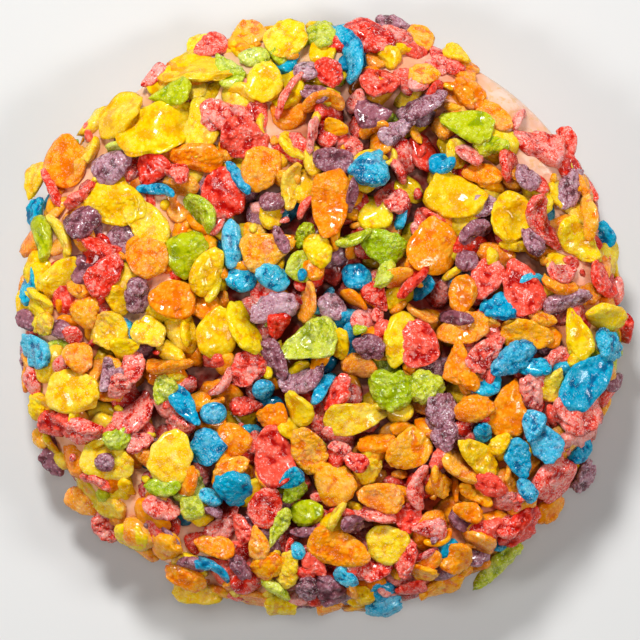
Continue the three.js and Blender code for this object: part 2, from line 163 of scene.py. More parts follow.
# The flakes that stand out, by flavour and kind, in mm. Each row: x and y of its middle, length,
# width as it shows from above, turn of its length from +X in degrees, and the layer of the heap.
LEADING_FLAKES = {
    "yellow": {
        "disc": [
            (-31.9, 31.6, 8.6, 7.8, 10, 1), (-5.9, 44, 7, 6.4, -40, 1),
            (-8.6, 37.2, 6.6, 6.2, 90, 2), (-27.4, 14.6, 9.6, 6, -48, 1),
            (8.6, 16.3, 5.8, 5.6, 0, 1), (21.4, 18.8, 10, 6.4, -15, 1), (29.9, 15.8, 8.5, 6.5, 75, 0),
            (40.9, 12.2, 8.6, 5, -48, 1), (-41.5, 6.1, 8, 3.4, 40, 2), (-17.7, 7.4, 7.8, 4.4, 65, 2),
            (-33.5, -2.2, 6.4, 6.2, 30, 1), (-27, -2.4, 6.4, 5, -20, 1), (-16.3, -2.2, 8, 6.2, 80, 1),
            (-12.2, -1.8, 9.4, 3.8, -62, 2), (-39.1, -11.9, 9, 6.8, -15, 1),
            (-33.9, -23, 8.4, 6.4, -15, 0), (-23.6, -22.1, 9.4, 7, 85, 2), (-30.1, -35.1, 6.4, 5, 10, 1),
            (-0.3, 10.4, 5.2, 4.2, -70, 1), (12.3, -3.6, 8.4, 4.6, 75, 0), (3.1, -4.2, 6, 3.6, 75, 1),
            (-3.7, -14.3, 6.4, 4.8, -60, 1), (24.8, -22.1, 8.8, 4.4, -35, 2),
            (10.2, -35.8, 6.6, 6, -30, 2), (45, -0.4, 7.4, 3.6, -35, 1), (-6.4, -46.3, 5.6, 4.6, 10, 0),
            (28.3, -20.1, 4.2, 2.4, 45, 1), (-32.1, 2.7, 5.4, 3.2, -65, 1),
        ],
        "sheet": [
            (-25.6, 30, 11, 8.8, 20, 0), (-18.6, 30, 11, 6, 72, 0), (-19.4, 39, 10.6, 6.8, -22, 1),
            (-32.4, 18.6, 9.8, 7.8, -35, 0),
        ],
        "clump": [
            (-5.3, -39.8, 6.6, 3.6, 80, 1), (7.8, -24.1, 5.4, 3.8, 30, 1),
            (-44.2, -1.3, 4.8, 3.6, 20, 1), (-44.9, -14.3, 4.5, 4, 0, 1),
        ],
        "shard": [
            (6, -16, 10, 4.8, 10, 2), (40.7, -2.7, 8.2, 3.8, -75, 2), (36.9, -10.5, 6, 3.4, 70, 1),
            (-30.8, -4.9, 5, 3.8, 20, 1), (21.7, 41.8, 5, 3.2, -15, 1), (-45.8, 21.8, 6.6, 4.2, 75, 1),
            (-20, 43.7, 4.6, 3.2, 60, 1),
        ],
        "strip": [
            (-4.4, 20.6, 7.4, 2.4, 82, 1), (-4.4, 27.1, 5.8, 2.6, -65, 1), (-36.9, 26.4, 6, 2.8, 70, 1),
            (-41.5, 13.1, 8, 2.6, -60, 1), (-44.5, 2.7, 5.6, 2.2, -30, 2), (-20, -43.9, 8.6, 2.6, 5, 0),
            (2.6, -31.3, 5.4, 2, 60, 2), (-12.4, 35.2, 5, 2.4, -20, 1),
        ],
    },
    "orange": {
        "disc": [
            (1.4, 18.1, 10.8, 5.6, 90, 2), (-9.5, 23.5, 7, 6.6, 80, 2), (15.9, 44.4, 5.5, 4.5, 90, 1),
            (16.2, 38.2, 5.8, 4.5, 80, 1), (23.6, 35.4, 6, 4.2, -20, 1), (27.7, 31.8, 6.4, 4.4, -35, 1),
            (25.7, 22.6, 6.8, 4.2, -25, 1), (42.7, 16.3, 8, 3.6, 85, 1), (-40.4, 24.6, 9, 7.4, -60, 1),
            (-19.6, 25, 8.6, 4.4, -8, 1), (-27.4, 9.5, 7, 6.2, -15, 1), (-23.6, 2.7, 6.6, 6.4, 0, 1),
            (17.6, 11.2, 9.4, 8, 80, 1), (-38.6, -6.2, 5, 4.8, 0, 1), (6.2, -7.8, 5.8, 4, -20, 1),
            (22.3, 3.4, 6.6, 4.4, 75, 2), (22.5, -1.8, 8.4, 5, 10, 0), (32.6, -2.9, 8.6, 5, -10, 1),
            (-13.6, -19.4, 5.4, 5, 0, 1), (-1.9, -21, 8.2, 5, -70, 1), (8.9, -19.9, 7, 3.6, 5, 2),
            (13.8, -21, 8.2, 6, 40, 2), (9.6, -28.2, 8, 4.8, -10, 2), (2.6, -36.7, 9.6, 5.8, -15, 2),
            (22.5, -23.7, 7, 3.2, -40, 1), (23.4, -30.9, 5.4, 3.4, -15, 2), (21.5, -38.3, 5.6, 5.6, 0, 2),
            (36.7, -30.4, 6.2, 4, 15, 0), (19.4, -43, 7.4, 4, 10, 0), (-38.4, -29.5, 6.4, 4.6, -10, 1),
            (-21.3, -41.4, 7, 4.2, -5, 1), (-17, -36.3, 6.6, 3.4, -10, 0), (35.1, -0.2, 4.6, 3, 10, 1),
        ],
        "sheet": [
            (16.2, -40.4, 5.8, 4.2, -30, 0),
        ],
        "clump": [
            (-37.1, 0.9, 4.6, 4.2, 50, 1), (1.9, -25.9, 7.6, 6, -55, 2), (-24, -36.5, 5.8, 5, 90, 1),
            (24.3, -14.3, 6, 4.6, 0, 1), (-8.6, -39.6, 4.8, 4, 0, 1), (-7.7, -15.7, 4.8, 4.2, 0, 1),
            (-14.2, -23.9, 5.5, 3, 25, 1),
        ],
        "shard": [
            (-11.5, 45.3, 6, 5.4, 90, 1), (-8.2, 10.8, 8.6, 5.4, 20, 1), (21.6, -6.9, 7, 4, 80, 2),
            (29.7, -14.3, 8.4, 5.4, 75, 2), (-9.7, -35.8, 5.6, 3, -75, 1),
        ],
        "strip": [
            (-23.8, -7.4, 7.2, 3, 5, 1), (-2.4, 2.5, 7, 2.4, 75, 1), (38, 5.2, 7, 2.8, -5, 2),
            (18.9, -25.7, 6.8, 2.6, -70, 2), (25, -35.6, 6, 2.6, -60, 1), (0.4, 33.6, 6.8, 2.4, 5, 1),
            (8.7, 29.5, 4.7, 2.2, 15, 1), (15.8, 0.7, 6, 2.2, -20, 1),
        ],
        "bead": [
            (-44.7, -19.4, 4, 3.4, 0, 1),
        ],
        "curl": [
            (24.5, -28.2, 7, 2.2, -35, 1),
        ],
    },
    "red": {
        "disc": [
            (-15.7, 19.7, 8, 7.2, 90, 1), (12, 44.9, 5.2, 3.4, -15, 1), (9.3, 37.2, 7, 5.6, 15, 1),
            (1.3, 38.8, 5, 4.2, -40, 2), (35.5, 14.9, 11, 3.4, -65, 2), (45, 6.3, 7.4, 7, 0, 2),
            (31.9, 4.5, 8.8, 6.4, -70, 2), (26.3, 5.9, 7, 5, 50, 1), (-34.1, 6.8, 8, 4.6, 50, 2),
            (15.5, -4, 8, 6.2, -70, 2), (-29.6, -8.3, 5.6, 3.2, 70, 1), (-7.7, -21.7, 9.6, 6.6, -80, 2),
            (-8.8, -30, 6.8, 5, 70, 2), (-25.2, -30.2, 6.4, 3.8, -5, 1), (26.1, -5.8, 8, 4, 45, 1),
            (27, -26.6, 5.6, 3.6, -25, 2), (13.8, -31.8, 5.4, 4.2, 80, 1), (8.4, -30.9, 7, 3, -15, 1),
            (-46, -10.3, 4.6, 3, -70, 1), (-21.3, -11, 3.6, 2.8, 0, 1), (-12.4, -33.6, 5, 3, -70, 1),
            (5.5, -22.8, 4.4, 2.8, -30, 1), (-17.4, 43, 5.8, 4.8, 20, 1), (14.4, -43.2, 5, 3.4, 10, 0),
        ],
        "clump": [
            (-15.1, 31.4, 8.6, 5.6, -10, 1), (-12, 28.2, 8, 5.6, -25, 1), (7.8, 44.6, 8.5, 5.5, -45, 1),
            (35, 26.9, 9.5, 5.6, -15, 1), (-11.5, -8.7, 6.2, 5, 60, 1), (2.6, -11.9, 6.2, 4, 55, 2),
            (-41.9, -17.1, 7, 5, 20, 1), (-37.3, -18, 6.5, 4.6, 10, 1), (33.3, -12.1, 6, 3.2, -75, 1),
            (40.7, -15.2, 10, 6, 15, 0), (40.2, -19.2, 8.4, 5, 10, 1), (36.9, -25.7, 7.4, 6.4, 20, 1),
            (11.8, 18.3, 4.4, 3.4, -50, 1), (-31.9, -11, 4.2, 3.4, 60, 1), (-28.7, -19.9, 4.2, 3, 20, 1),
            (3.3, -20.8, 4.4, 3, -20, 1), (-26.4, 38.4, 4.8, 3.2, 45, 1), (-22.6, 22.6, 4.6, 3.4, -60, 1),
            (31.5, -33.5, 7.4, 5.4, 30, 0), (26.5, -33.8, 5.6, 4, -20, 0), (13.4, -38.3, 6, 3.6, 80, 1),
        ],
        "shard": [
            (-26.7, 23.5, 5.8, 5, 60, 2), (-7, -1.5, 5, 3.2, 75, 2), (9.1, 3, 4.8, 3, -60, 1),
            (-11.8, -13.9, 5, 3, 0, 1), (-0.8, -39.2, 4.6, 3, -40, 1), (17.3, -33.6, 5.4, 3, 0, 1),
        ],
        "strip": [
            (-4.8, 35.4, 9, 2, 55, 1), (-1.4, 28.7, 6, 2.2, 70, 1), (31.5, 31.2, 5, 2, 65, 1),
            (39.3, 27.8, 5.2, 2.6, -65, 1), (-34.6, 11.3, 6.8, 2.8, -20, 1), (-42.7, 20.4, 8, 2, -60, 1),
            (-15.8, -10.3, 5.4, 2.2, 60, 2), (-29.6, -14.8, 8, 3, 40, 1), (-35.7, -26.2, 5.2, 2.4, 0, 2),
            (-33.7, -33.1, 6.8, 2.8, -80, 1), (15.8, -27.1, 7.6, 2.8, 80, 2), (8, -39.6, 6.6, 2.8, 15, 2),
            (14.5, 5.4, 6.2, 2.2, 30, 2), (23.6, 25.8, 5, 2.4, -15, 1), (29.7, 23.8, 5.6, 2.6, 90, 1),
            (38, 7.4, 5.6, 2.8, -15, 1), (48.3, -1.5, 5.6, 2.8, -55, 1), (29.5, -33.1, 5, 2.4, 0, 1),
            (-38, 19.2, 6.6, 2.8, 35, 1), (-37.2, 29.2, 4.6, 2, -70, 0),
        ],
        "bead": [
            (15.4, 36.8, 3.3, 3.1, 0, 2),
        ],
    },
    "blue": {
        "disc": [
            (19.1, 24.2, 4.9, 3.4, 0, 1), (-7.7, 6.3, 6, 4.2, -15, 2), (-46.4, 5.2, 7.4, 4.4, 80, 1),
            (-45.1, -5.8, 7.6, 5, -25, 1), (-17.8, -20.8, 6, 5.2, 60, 1), (-4.8, -25.5, 4.2, 3, 30, 2),
            (42, -10.3, 10.6, 6.2, 48, 2), (31.3, -22.3, 6.4, 4, -70, 2),
            (32.7, -27.3, 4.6, 3, -40, 2), (33.7, -8, 5, 3.2, 0, 1), (-17.6, -28.4, 4.4, 3, 0, 1),
            (41.4, -21.2, 4.6, 3.4, 30, 0),
        ],
        "clump": [
            (8.2, 23.5, 6.6, 6.4, 60, 2), (-13.8, -27.3, 6.6, 5.4, -60, 2), (30.1, -6.7, 7.6, 4, 30, 2),
            (45.9, -4.5, 6, 5, -45, 2), (10.2, -46.1, 7.6, 4, 20, 0), (27.7, 1.4, 6, 4, 0, 1),
            (25.6, -18.2, 4, 2.6, 85, 1), (4, -41.2, 3.8, 3, -30, 1), (-45.4, 16.6, 4.4, 3.2, 60, 1),
        ],
        "shard": [
            (-21.1, -14.3, 7.8, 3.2, -60, 2), (34.9, -19.4, 9, 4.4, -52, 2), (33.4, -17.4, 5, 3.2, 80, 2),
        ],
        "strip": [
            (4.3, 41.7, 10, 2.6, -75, 2), (-12.9, 6.1, 5, 2.8, -10, 2), (-17.5, -40, 7.4, 2.6, -25, 2),
            (26.1, -10.5, 5.2, 2.4, 20, 2), (45.2, 13.1, 4.4, 1.8, -65, 1),
        ],
        "bead": [
            (-14, 11.5, 8.2, 3.2, -85, 2), (5.7, 6.3, 4.7, 4.4, 0, 2), (-9.1, -11.4, 3.6, 3.6, 0, 2),
            (-3.6, -36.9, 3.2, 2.6, 90, 2), (-16.9, -15.2, 4, 3.4, 0, 1),
        ],
        "curl": [
            (-25.8, 19.9, 7.5, 1.8, -5, 1), (0.4, 2.5, 6.6, 2, 50, 1), (0.4, -11.2, 7, 2, 60, 2),
            (-13, 22, 6.5, 1.6, -55, 1),
        ],
    },
    "green": {
        "disc": [
            (0.4, 44.9, 6.9, 4.8, 90, 1), (-10.6, 41.3, 5, 3.2, 10, 1), (27, 27.1, 6, 3.4, 0, 0),
            (-44.2, 12.2, 7.4, 3.8, 90, 1), (10, 6.8, 5.4, 3.4, 80, 1), (-2.1, -31.1, 5.6, 4, 15, 2),
            (-24.9, -26.8, 5.4, 3, 0, 1), (-24.9, -11.6, 4.8, 3.4, 60, 1), (-32.3, -19.2, 4.6, 3.6, 0, 1),
        ],
        "clump": [
            (-20.9, 10.1, 7, 6.8, 40, 1), (9.8, 11.3, 6.6, 5.4, -15, 2), (11.4, -11.4, 7, 6.6, 90, 2),
            (16.7, -11, 6, 5.4, 0, 1), (28.6, -39.6, 10, 3.4, 38, 0), (-2.6, 12.8, 4.6, 2.4, 60, 1),
            (-20.2, -30.4, 4.4, 3.8, 0, 1), (-4.1, -27.7, 4.2, 3, 30, 1),
        ],
        "shard": [
            (-23.6, 35.4, 7.4, 3.8, 0, 1), (-14.7, 39, 6.8, 3.6, -60, 1), (23.2, 30.3, 9.4, 5, -15, 2),
            (-1.9, -3.8, 11, 5.6, 25, 2), (-6.6, -33.3, 6.8, 2.4, 65, 2),
        ],
        "strip": [
            (-19.2, 16.3, 7, 3, -60, 1), (-3.2, 8.1, 4.8, 2.6, 60, 1), (4.9, 12.4, 6.4, 2.6, 20, 2),
            (-31.6, 26.6, 5.6, 2.6, 0, 0), (-7, -43.4, 5.4, 2.8, -40, 1),
        ],
    },
    "purple": {
        "disc": [
            (11.8, 46.8, 5.8, 3.4, -15, 2), (1.9, 24.7, 6.5, 4.2, -10, 1), (-6.2, 12.2, 4.6, 2.4, -55, 2),
            (32.6, 22.2, 5, 4.2, -60, 1), (1.7, 1.6, 5, 4.2, 0, 2), (7.5, -5.1, 5.2, 4.6, -30, 1),
            (-7.5, -6.7, 7.4, 2.6, -60, 1), (-12.7, -39.8, 4.8, 2.8, -45, 1),
            (5.1, -32.9, 4.4, 3.2, -50, 2), (46.8, -10.5, 5, 2.6, 0, 1),
        ],
        "clump": [
            (-33, 24, 5.8, 5.6, 30, 1), (-37.7, 15.1, 6, 5, 30, 1), (-1, 35.4, 5, 3.2, -20, 1),
            (39.6, 20.8, 8.2, 3.8, 60, 1), (33.5, 11.9, 4.6, 3.6, -45, 1), (-28.8, 3.2, 6.4, 4, 85, 2),
            (-7.7, 1.2, 8.4, 4.6, 20, 0), (18.9, -14.8, 5.6, 5.6, 0, 1), (19.8, -19, 5, 4.4, 90, 1),
            (-42.9, -23.2, 5, 3.2, -45, 1), (1.3, -43.4, 7, 4.4, -60, 1), (42, -25.5, 6.4, 4, 55, 0),
            (-46.9, -0.4, 4, 3.2, 0, 1), (-2.1, -43.2, 5, 3, 90, 1),
        ],
        "shard": [
            (8.2, 32.1, 5.6, 4.4, 0, 1), (12.3, 29.6, 6.5, 2.8, 30, 2),
        ],
        "strip": [
            (16, 33.6, 8, 2.8, 25, 2), (24.3, 13.1, 5.8, 3, 15, 1), (39.1, 2.5, 8.2, 2.8, 15, 2),
            (-3.2, -9.6, 7.8, 2.6, 20, 1),
        ],
        "bead": [
            (-7.7, 18.1, 4, 3.8, 0, 1), (-34.2, -23, 3.2, 3.1, 0, 2), (-2.3, 39, 4, 3.4, 0, 1),
            (23, 8.8, 3.8, 3.4, 0, 1),
        ],
        "curl": [
            (-33.9, -9.2, 6.6, 1.9, 80, 2), (21.4, -0.2, 6.6, 2, -20, 2), (4.9, 19.3, 6, 1.6, 80, 1),
            (-2.1, -34, 6.2, 1.5, 0, 1),
        ],
    },
}

# A flake's record while the heap is made.
FLAKE = np.dtype([
    ("kind", "i4"), ("flavour", "i4"), ("at", "f8", 3), ("length", "f8"), ("width", "f8"),
    ("turn", "f8"), ("lean", "f8"), ("layer", "f8"), ("normal", "f8", 3), ("rough", "f8"),
    ("fine", "?"),
])

# Where the coat of icing shows between few flakes: angle from +X and half width in degrees,
# and the distance from the middle at which it starts.
BARE_PATCHES = [(128, 12, 44 * MM), (44, 13, 39 * MM)]
# Where the flakes lie flush in icing that has crept up round them, given the same way.
FLUSH_PATCHES = [(138, 52, 21 * MM)]
DEEP_ICING = 2.2 * MM  # from the bed down to the icing in the middle of the heap
RIM_ICING = 0.9 * MM
FLUSH_ICING = 0.9 * MM
BARE_ICING = 0.2 * MM
MIDDLE_REACH = 30 * MM  # radius out to which the icing is at its deepest
ICING_ON_COOKIE = 0.35 * MM  # least thickness of the coat in the middle

PACKED_KINDS = {"disc": 0.6, "clump": 0.4}  # shares of the kinds, here and below
SMALL_KINDS = {
    "disc": 0.26, "clump": 0.16, "shard": 0.14, "strip": 0.24, "bead": 0.06, "curl": 0.14}
BASE_SEATS = 360
SMALL_SEATS = 230
CRUMB_SEATS = 150
SEAT_NUDGE = 1.6  # mm, most by which a flake strays from its seat each way
EDGE_MARGIN = 2.4 * MM  # from the bed's edge to the outermost seat
NARROW_WIDTHS = (0.3, 0.42)  # width of strips and curls as a share of their length
BROAD_WIDTHS = (0.58, 0.9)  # the same for the other kinds
MOST_LEAN = 70  # degrees
LEAN_SPREAD = 9  # degrees by which the leading flakes' leans spread
BARE_MISSING = 0.85  # share of the scattered flakes that is missing on a bare patch
FLUSH_MISSING = 0.1  # and on a flush one

SIDE_ROWS = [(12 * MM, 36), (9.8 * MM, 38), (7.7 * MM, 38), (5.8 * MM, 36)]  # height, count
SIDE_STRAY = 1.1  # mm, by which a side flake lies over or under its row
SIDE_SUNK = (-1.1, -0.2)  # mm, from the coat's surface to a side flake's middle
SIDE_KINDS = {"disc": 0.6, "clump": 0.25, "shard": 0.15}
SIDE_LENGTHS = (4.2, 7.6)  # mm
SIDE_WIDTHS = (0.55, 0.9)
BARE_SUNK = 1.3 * MM  # how much deeper a side flake is under a bare patch
SHOULDER = 9 * MM  # height from which the side flakes that leading ones cover are pressed in
PRESSED_IN = 1.1 * MM
BARE_SIDE = 0.95  # share of the side flakes that is missing at the top of a bare patch
ROUGH_SPREAD = (0.45, 1.3)  # of a flake's roughness about its flavour's
ICED_OVER = 0.6  # how much smoother a flake is on a bare patch
GOLDEN_ANGLE = math.pi * (3 - math.sqrt(5))

# How a flake's skin is shaped: see flake_skins().
CORNERS = (0.8, 1)  # powers of its length and width: 1 is round, and less is squarer
SPOT_SIZES = (0.7, 1.5)  # of bubbles, against each other
SPOT_REACH = 0.62  # square of a bubble's reach in spacings
CREASE_SHARE = 0.6  # of a bubble's height, at which the skin stays where it was
WRINKLE = 0.09 * MM  # height of the fine waves
USUAL_LENGTH = 6 * MM  # of a flake whose bubbles have their full height
CUPS = (-0.1, 0.28)  # rise of the long edges, in half widths
WARP = 0.1  # of the slow waves across a flake, in half widths
BENDS = (-0.4, 1)  # of its kind's bend
LEAST_BEND = 0.02  # radians, so that a flat flake has an arc too
MOST_TWIST = 0.3  # radians, at each end
MOST_TILT = 9  # degrees

UNDER_TOPS = 0.45  # painted shade of a point that lies deep between the tops at the rim

# Rings, sides and bubbles of the skins of the leading flakes, the other flakes and the crumbs.
LEADING_GRID = (30, 30, 110)
SMALL_GRID = (14, 12, 40)
CRUMB_GRID = (6, 7, 9)

# Points on each part of a lathe body's section, and its steps round the axis.
COOKIE_ROWS, COOKIE_STEPS = 44, 360
ICING_ROWS, ICING_STEPS = 130, 480

HEAP_SHADE_LOSS = [0.8, 0.97, 0.985]  # painted shade deep in the heap: how much of red, green and blue it takes from the icing's stains
STAIN_POWER = 1.25  # deepens the colours that have run
USUAL_STAIN = 0.5  # share of the icing's colour that the stains take
BARE_STAIN = -0.26  # what a bare patch adds to it
FULL_STAIN = 0.36  # what a stained patch adds

HIDDEN = 0.8  # share of a leading flake's size within which nothing small is put
COVERED = 0.97  # share of what is under a flake that its top has to hide
MARGIN = 0.45 * MM  # by which a small flake stays under a leading one that lies over it
DEEPEST_DROP = 3 * MM
LID_SHARE = 0.7  # square of the share of a leading flake's size that hides what is under it
LEAST_COSINE = 0.5  # of a lean, where it widens a flake
THICKEST = 0.55  # most that a flake's thickness is of the width that shows
WIDEST = 0.95  # most that its width is of its length
SEATED = 0.72  # share of the heights under a flake that its seat reaches
COVER = 0.25 * MM  # of a flake's top over what it has to hide
LOWEST_SEAT = WAIST_HEIGHT - 0.5 * MM
BARE_RISE_CUT = 0.45  # how much less a flake rises on a bare patch
FLUSH_RISE_CUT = 0.3  # and on a flush one
LAP = 0.42  # height to which icing laps up round flakes, as a share of their height
MOST_LAPPED = 2 * MM  # height of the heap that counts for that
LAP_CELLS = 3  # width of the bell curve that smooths it
MAP_CELL = 0.3 * MM
MAP_REACH = 54 * MM
# Where colour has run into the icing most, given as the bare patches are.
STAINED_PATCHES = [(-48, 62, 27 * MM)]
STAIN_CELLS = 10  # width of the bell curve with which colour runs into the icing
TOP_CELLS = 4  # width of the one that smooths the heap's tops
STEEPEST = 1.2  # slope that a flake can lie on
HIGHEST_RISE = 3.2 * MM  # of a flake's top over the bed
NARROW = 0.5  # a named flake whose width is less of its length is one seen at a slant
BROADEST = 0.9  # most that the true width of such a flake is of its length
BROADER = 1.5  # and most that it is of the width that shows
STEEPEST_COSINE = 0.6  # of its lean


def turned(a, b, angle):
    """A point's two coordinates, turned by an angle."""
    return a * np.cos(angle) - b * np.sin(angle), a * np.sin(angle) + b * np.cos(angle)


def outline(angle):
    """The edge's radius as a share: 1 and three slow cosine waves of the angle."""
    return (
        1
        + OVAL * np.cos(2 * angle)
        + 0.005 * np.cos(3 * angle - 2.2)
        + 0.003 * np.cos(7 * angle + 0.9)
    )


def dome(share, top):
    """Height over the underside at a share of the radius: a quarter superellipse whose first
    power is DOME_FLATNESS and second is 2, from the waist up to the top."""
    rise = np.sqrt(np.clip(1 - np.clip(share, 0, 1) ** DOME_FLATNESS, 0, 1))
    return WAIST_HEIGHT + (top - WAIST_HEIGHT) * rise


def dome_share(height, top):
    """The share of the radius at which the dome has a height: the inverse of dome()."""
    rise = np.clip((height - WAIST_HEIGHT) / (top - WAIST_HEIGHT), 0, 1)
    return (1 - rise**2) ** (1 / DOME_FLATNESS)


def bed_height(x, y):
    """The bed's height, falling off in a straight skirt outside its edge."""
    share = np.hypot(x, y) / (BED_RADIUS * outline(np.arctan2(y, x)))
    skirt = np.clip(share - 1, 0, None) * BED_RADIUS * SKIRT_SLOPE
    return dome(share, BED_TOP) - skirt


def smooth_step(value, low, high):
    """0 below low, 1 above high, and the cubic 3t² - 2t³ between."""
    t = np.clip((value - low) / (high - low), 0, 1)
    return t * t * (3 - 2 * t)


def inside_of(patches, x, y):
    """How far a place lies in one of the patches: 0 outside, 1 well inside."""
    angle, radius = np.degrees(np.arctan2(y, x)), np.hypot(x, y)
    share = np.zeros(np.shape(x))
    for middle, half_width, start in patches:
        off = np.abs((angle - middle + 180) % 360 - 180)
        across = 1 - smooth_step(off, 0.6 * half_width, half_width)
        share = np.maximum(share, across * smooth_step(radius, start, start + 3 * MM))
    return share


def bareness(x, y):
    """How far a place lies in a bare patch of icing."""
    return inside_of(BARE_PATCHES, x, y)


def flushness(x, y):
    """How far a place lies in a patch whose flakes are flush in the icing."""
    return inside_of(FLUSH_PATCHES, x, y)


def waves(points, size, seed, count=5):
    """Smooth noise from about -1 to 1: the mean of sine waves in random directions, each `size`
    long give or take a third."""
    rng = np.random.default_rng(seed)
    ways = rng.normal(size=(count, points.shape[-1]))
    ways /= np.linalg.norm(ways, axis=1, keepdims=True)
    lengths = size * rng.uniform(0.7, 1.35, size=(count, 1))
    phases = rng.uniform(0, 2 * np.pi, size=count)
    return np.sin(points @ (2 * np.pi * ways / lengths).T + phases).mean(axis=-1) * 1.6


def icing_height(x, y):
    """Top of the coat of icing: under the bed by its depth, with slow and quick waves, and never
    under a plane just over the cookie, which falls off at 45 degrees outside the middle."""
    radius = np.hypot(x, y)
    depth = DEEP_ICING + (RIM_ICING - DEEP_ICING) * smooth_step(radius, MIDDLE_REACH, 44 * MM)
    depth = depth + (FLUSH_ICING - depth) * flushness(x, y)
    depth = depth + (BARE_ICING - depth) * bareness(x, y)
    plan = np.stack([x, y], axis=-1)
    lumps = 0.35 * MM * waves(plan, 9 * MM, 31) + 0.14 * MM * waves(plan, 3.2 * MM, 32)
    height = bed_height(x, y) - depth + lumps
    under = COOKIE_TOP + ICING_ON_COOKIE - np.clip(radius - MIDDLE_REACH, 0, None)
    return np.maximum(height, under)


# ---------------------------------------------------------------- the heap of flakes


def leading_flakes(rng):
    """The named flakes as records, with their places still at height 0. A narrow disc over the
    lowest layer is a wider one that leans to one side, so that its width is its true width
    times the lean's cosine."""
    rows = [
        (FLAVOUR_NAMES.index(flavour), KIND_NAMES.index(kind), *row)
        for flavour, kinds in LEADING_FLAKES.items()
        for kind, kind_rows in kinds.items()
        for row in kind_rows
    ]
    table = np.array(rows, dtype=float)
    flakes = np.zeros(len(rows), FLAKE)
    flakes["flavour"], flakes["kind"] = table[:, 0], table[:, 1]
    flakes["at"][:, :2] = table[:, 2:4] * MM
    flakes["length"], flakes["width"] = table[:, 4] * MM, table[:, 5] * MM
    flakes["turn"] = np.radians(table[:, 6])
    flakes["layer"] = table[:, 7]
    flakes["fine"] = True
    usual = np.radians(across_of(flakes, "lean") + rng.normal(size=len(rows)) * LEAN_SPREAD)
    ratio = flakes["width"] / flakes["length"]
    flat = flakes["kind"] == KIND_NAMES.index("disc")
    true_ratio = np.minimum(BROADEST, BROADER * ratio)
    slant = np.arccos(np.clip(ratio / true_ratio, STEEPEST_COSINE, 1))
    side = rng.choice([-1, 1], len(rows))
    narrow = flat & (ratio < NARROW) & (flakes["layer"] > 0)
    flakes["lean"] = np.where(narrow, side * slant, side * usual)
    return flakes


def drawn_flavours(rng, x, y):
    """A flavour for each place. Each flavour's share leans with how far up and left it is."""
    up_left = (y - x) / (2 * BED_RADIUS)
    shares = np.array([f.share + f.lean * up_left for f in FLAVOURS.values()])
    steps = np.cumsum(shares / shares.sum(axis=0), axis=0)
    return (rng.random(x.shape) > steps[:-1]).sum(axis=0)


def drawn_kinds(rng, kinds, count):
    """A kind for each of so many flakes, each kind with its own share."""
    names, shares = zip(*kinds.items())
    return rng.choice([KIND_NAMES.index(name) for name in names], count, p=shares)


def scattered_flakes(seats, lengths, kinds, layer, reach, spread, seed):
    """Flakes on a sunflower spiral, each nudged from its seat. The n-th seat is at the radius
    reach * sqrt(n / seats) and n golden angles round, and none is nearer to the bed's edge than
    EDGE_MARGIN. Their leans spread by so many degrees. Most of those on bare patches and a few
    on flush ones are left out."""
    rng = np.random.default_rng(seed)
    number = np.arange(seats) + 0.5
    radius, angle = reach * np.sqrt(number / seats), number * GOLDEN_ANGLE
    nudge = rng.uniform(-SEAT_NUDGE, SEAT_NUDGE, size=(2, seats)) * MM
    x, y = radius * np.cos(angle) + nudge[0], radius * np.sin(angle) + nudge[1]
    inwards = np.minimum(1, (BED_RADIUS * outline(angle) - EDGE_MARGIN) / np.hypot(x, y))
    x, y = x * inwards, y * inwards
    flakes = np.zeros(seats, FLAKE)
    flakes["flavour"] = drawn_flavours(rng, x, y)
    flakes["kind"] = drawn_kinds(rng, kinds, seats)
    flakes["at"][:, 0], flakes["at"][:, 1] = x, y
    flakes["length"] = rng.uniform(*lengths, seats)
    narrow = np.isin(flakes["kind"], [KIND_NAMES.index("strip"), KIND_NAMES.index("curl")])
    width_share = np.where(
        narrow, rng.uniform(*NARROW_WIDTHS, seats), rng.uniform(*BROAD_WIDTHS, seats))
    usual = across_of(flakes, "lean") + rng.normal(size=seats) * spread
    lean = np.clip(usual, -MOST_LEAN, MOST_LEAN)
    flakes["lean"] = np.radians(lean) * rng.choice([-1, 1], seats)
    flakes["width"] = flakes["length"] * width_share
    flakes["turn"] = rng.uniform(0, np.pi, seats)
    flakes["layer"] = layer
    missing = np.maximum(BARE_MISSING * bareness(x, y), FLUSH_MISSING * flushness(x, y))
    return flakes[rng.random(seats) > missing]


def across_of(flakes, field):
    """A kind's value for every flake."""
    values = np.array([getattr(kind, field) for kind in KINDS.values()], dtype=float)
    return values[flakes["kind"]]


def true_sizes(flakes):
    """Length, width and thickness of every flake as half sizes. The true width is the seen one
    over the lean's cosine, which counts as LEAST_COSINE or more, and it is less than the length.
    The thickness is at most a share of the seen width."""
    width = flakes["width"] / np.maximum(np.cos(flakes["lean"]), LEAST_COSINE)
    share = across_of(flakes, "thickness_share")
    thickness = np.where(share > 0, flakes["width"] * share, across_of(flakes, "thickness"))
    thickest = THICKEST * flakes["width"] + 0.3 * MM * (share > 0)
    thickness = np.minimum(thickness, thickest)
    width = np.minimum(width, WIDEST * flakes["length"])
    return np.stack([flakes["length"], width, thickness], axis=1) / 2


def blurred(field, cells):
    """A map smoothed with a bell curve of so many cells, first along its rows, then across."""
    reach = np.arange(-3 * cells, 3 * cells + 1)
    bell = np.exp(-(reach**2) / (2 * cells**2))
    bell /= bell.sum()
    for axis in (0, 1):
        field = np.apply_along_axis(np.convolve, axis, field, bell, "same")
    return field


def map_value(field, x, y):
    """A map's value at each place, straight between the four cells round it."""
    u, v = (np.clip((c + MAP_REACH) / MAP_CELL, 0, len(field) - 2) for c in (x, y))
    i, j = u.astype(int), v.astype(int)
    p, q = u - i, v - j
    near = field[i, j] * (1 - q) + field[i, j + 1] * q
    far = field[i + 1, j] * (1 - q) + field[i + 1, j + 1] * q
    return near * (1 - p) + far * p


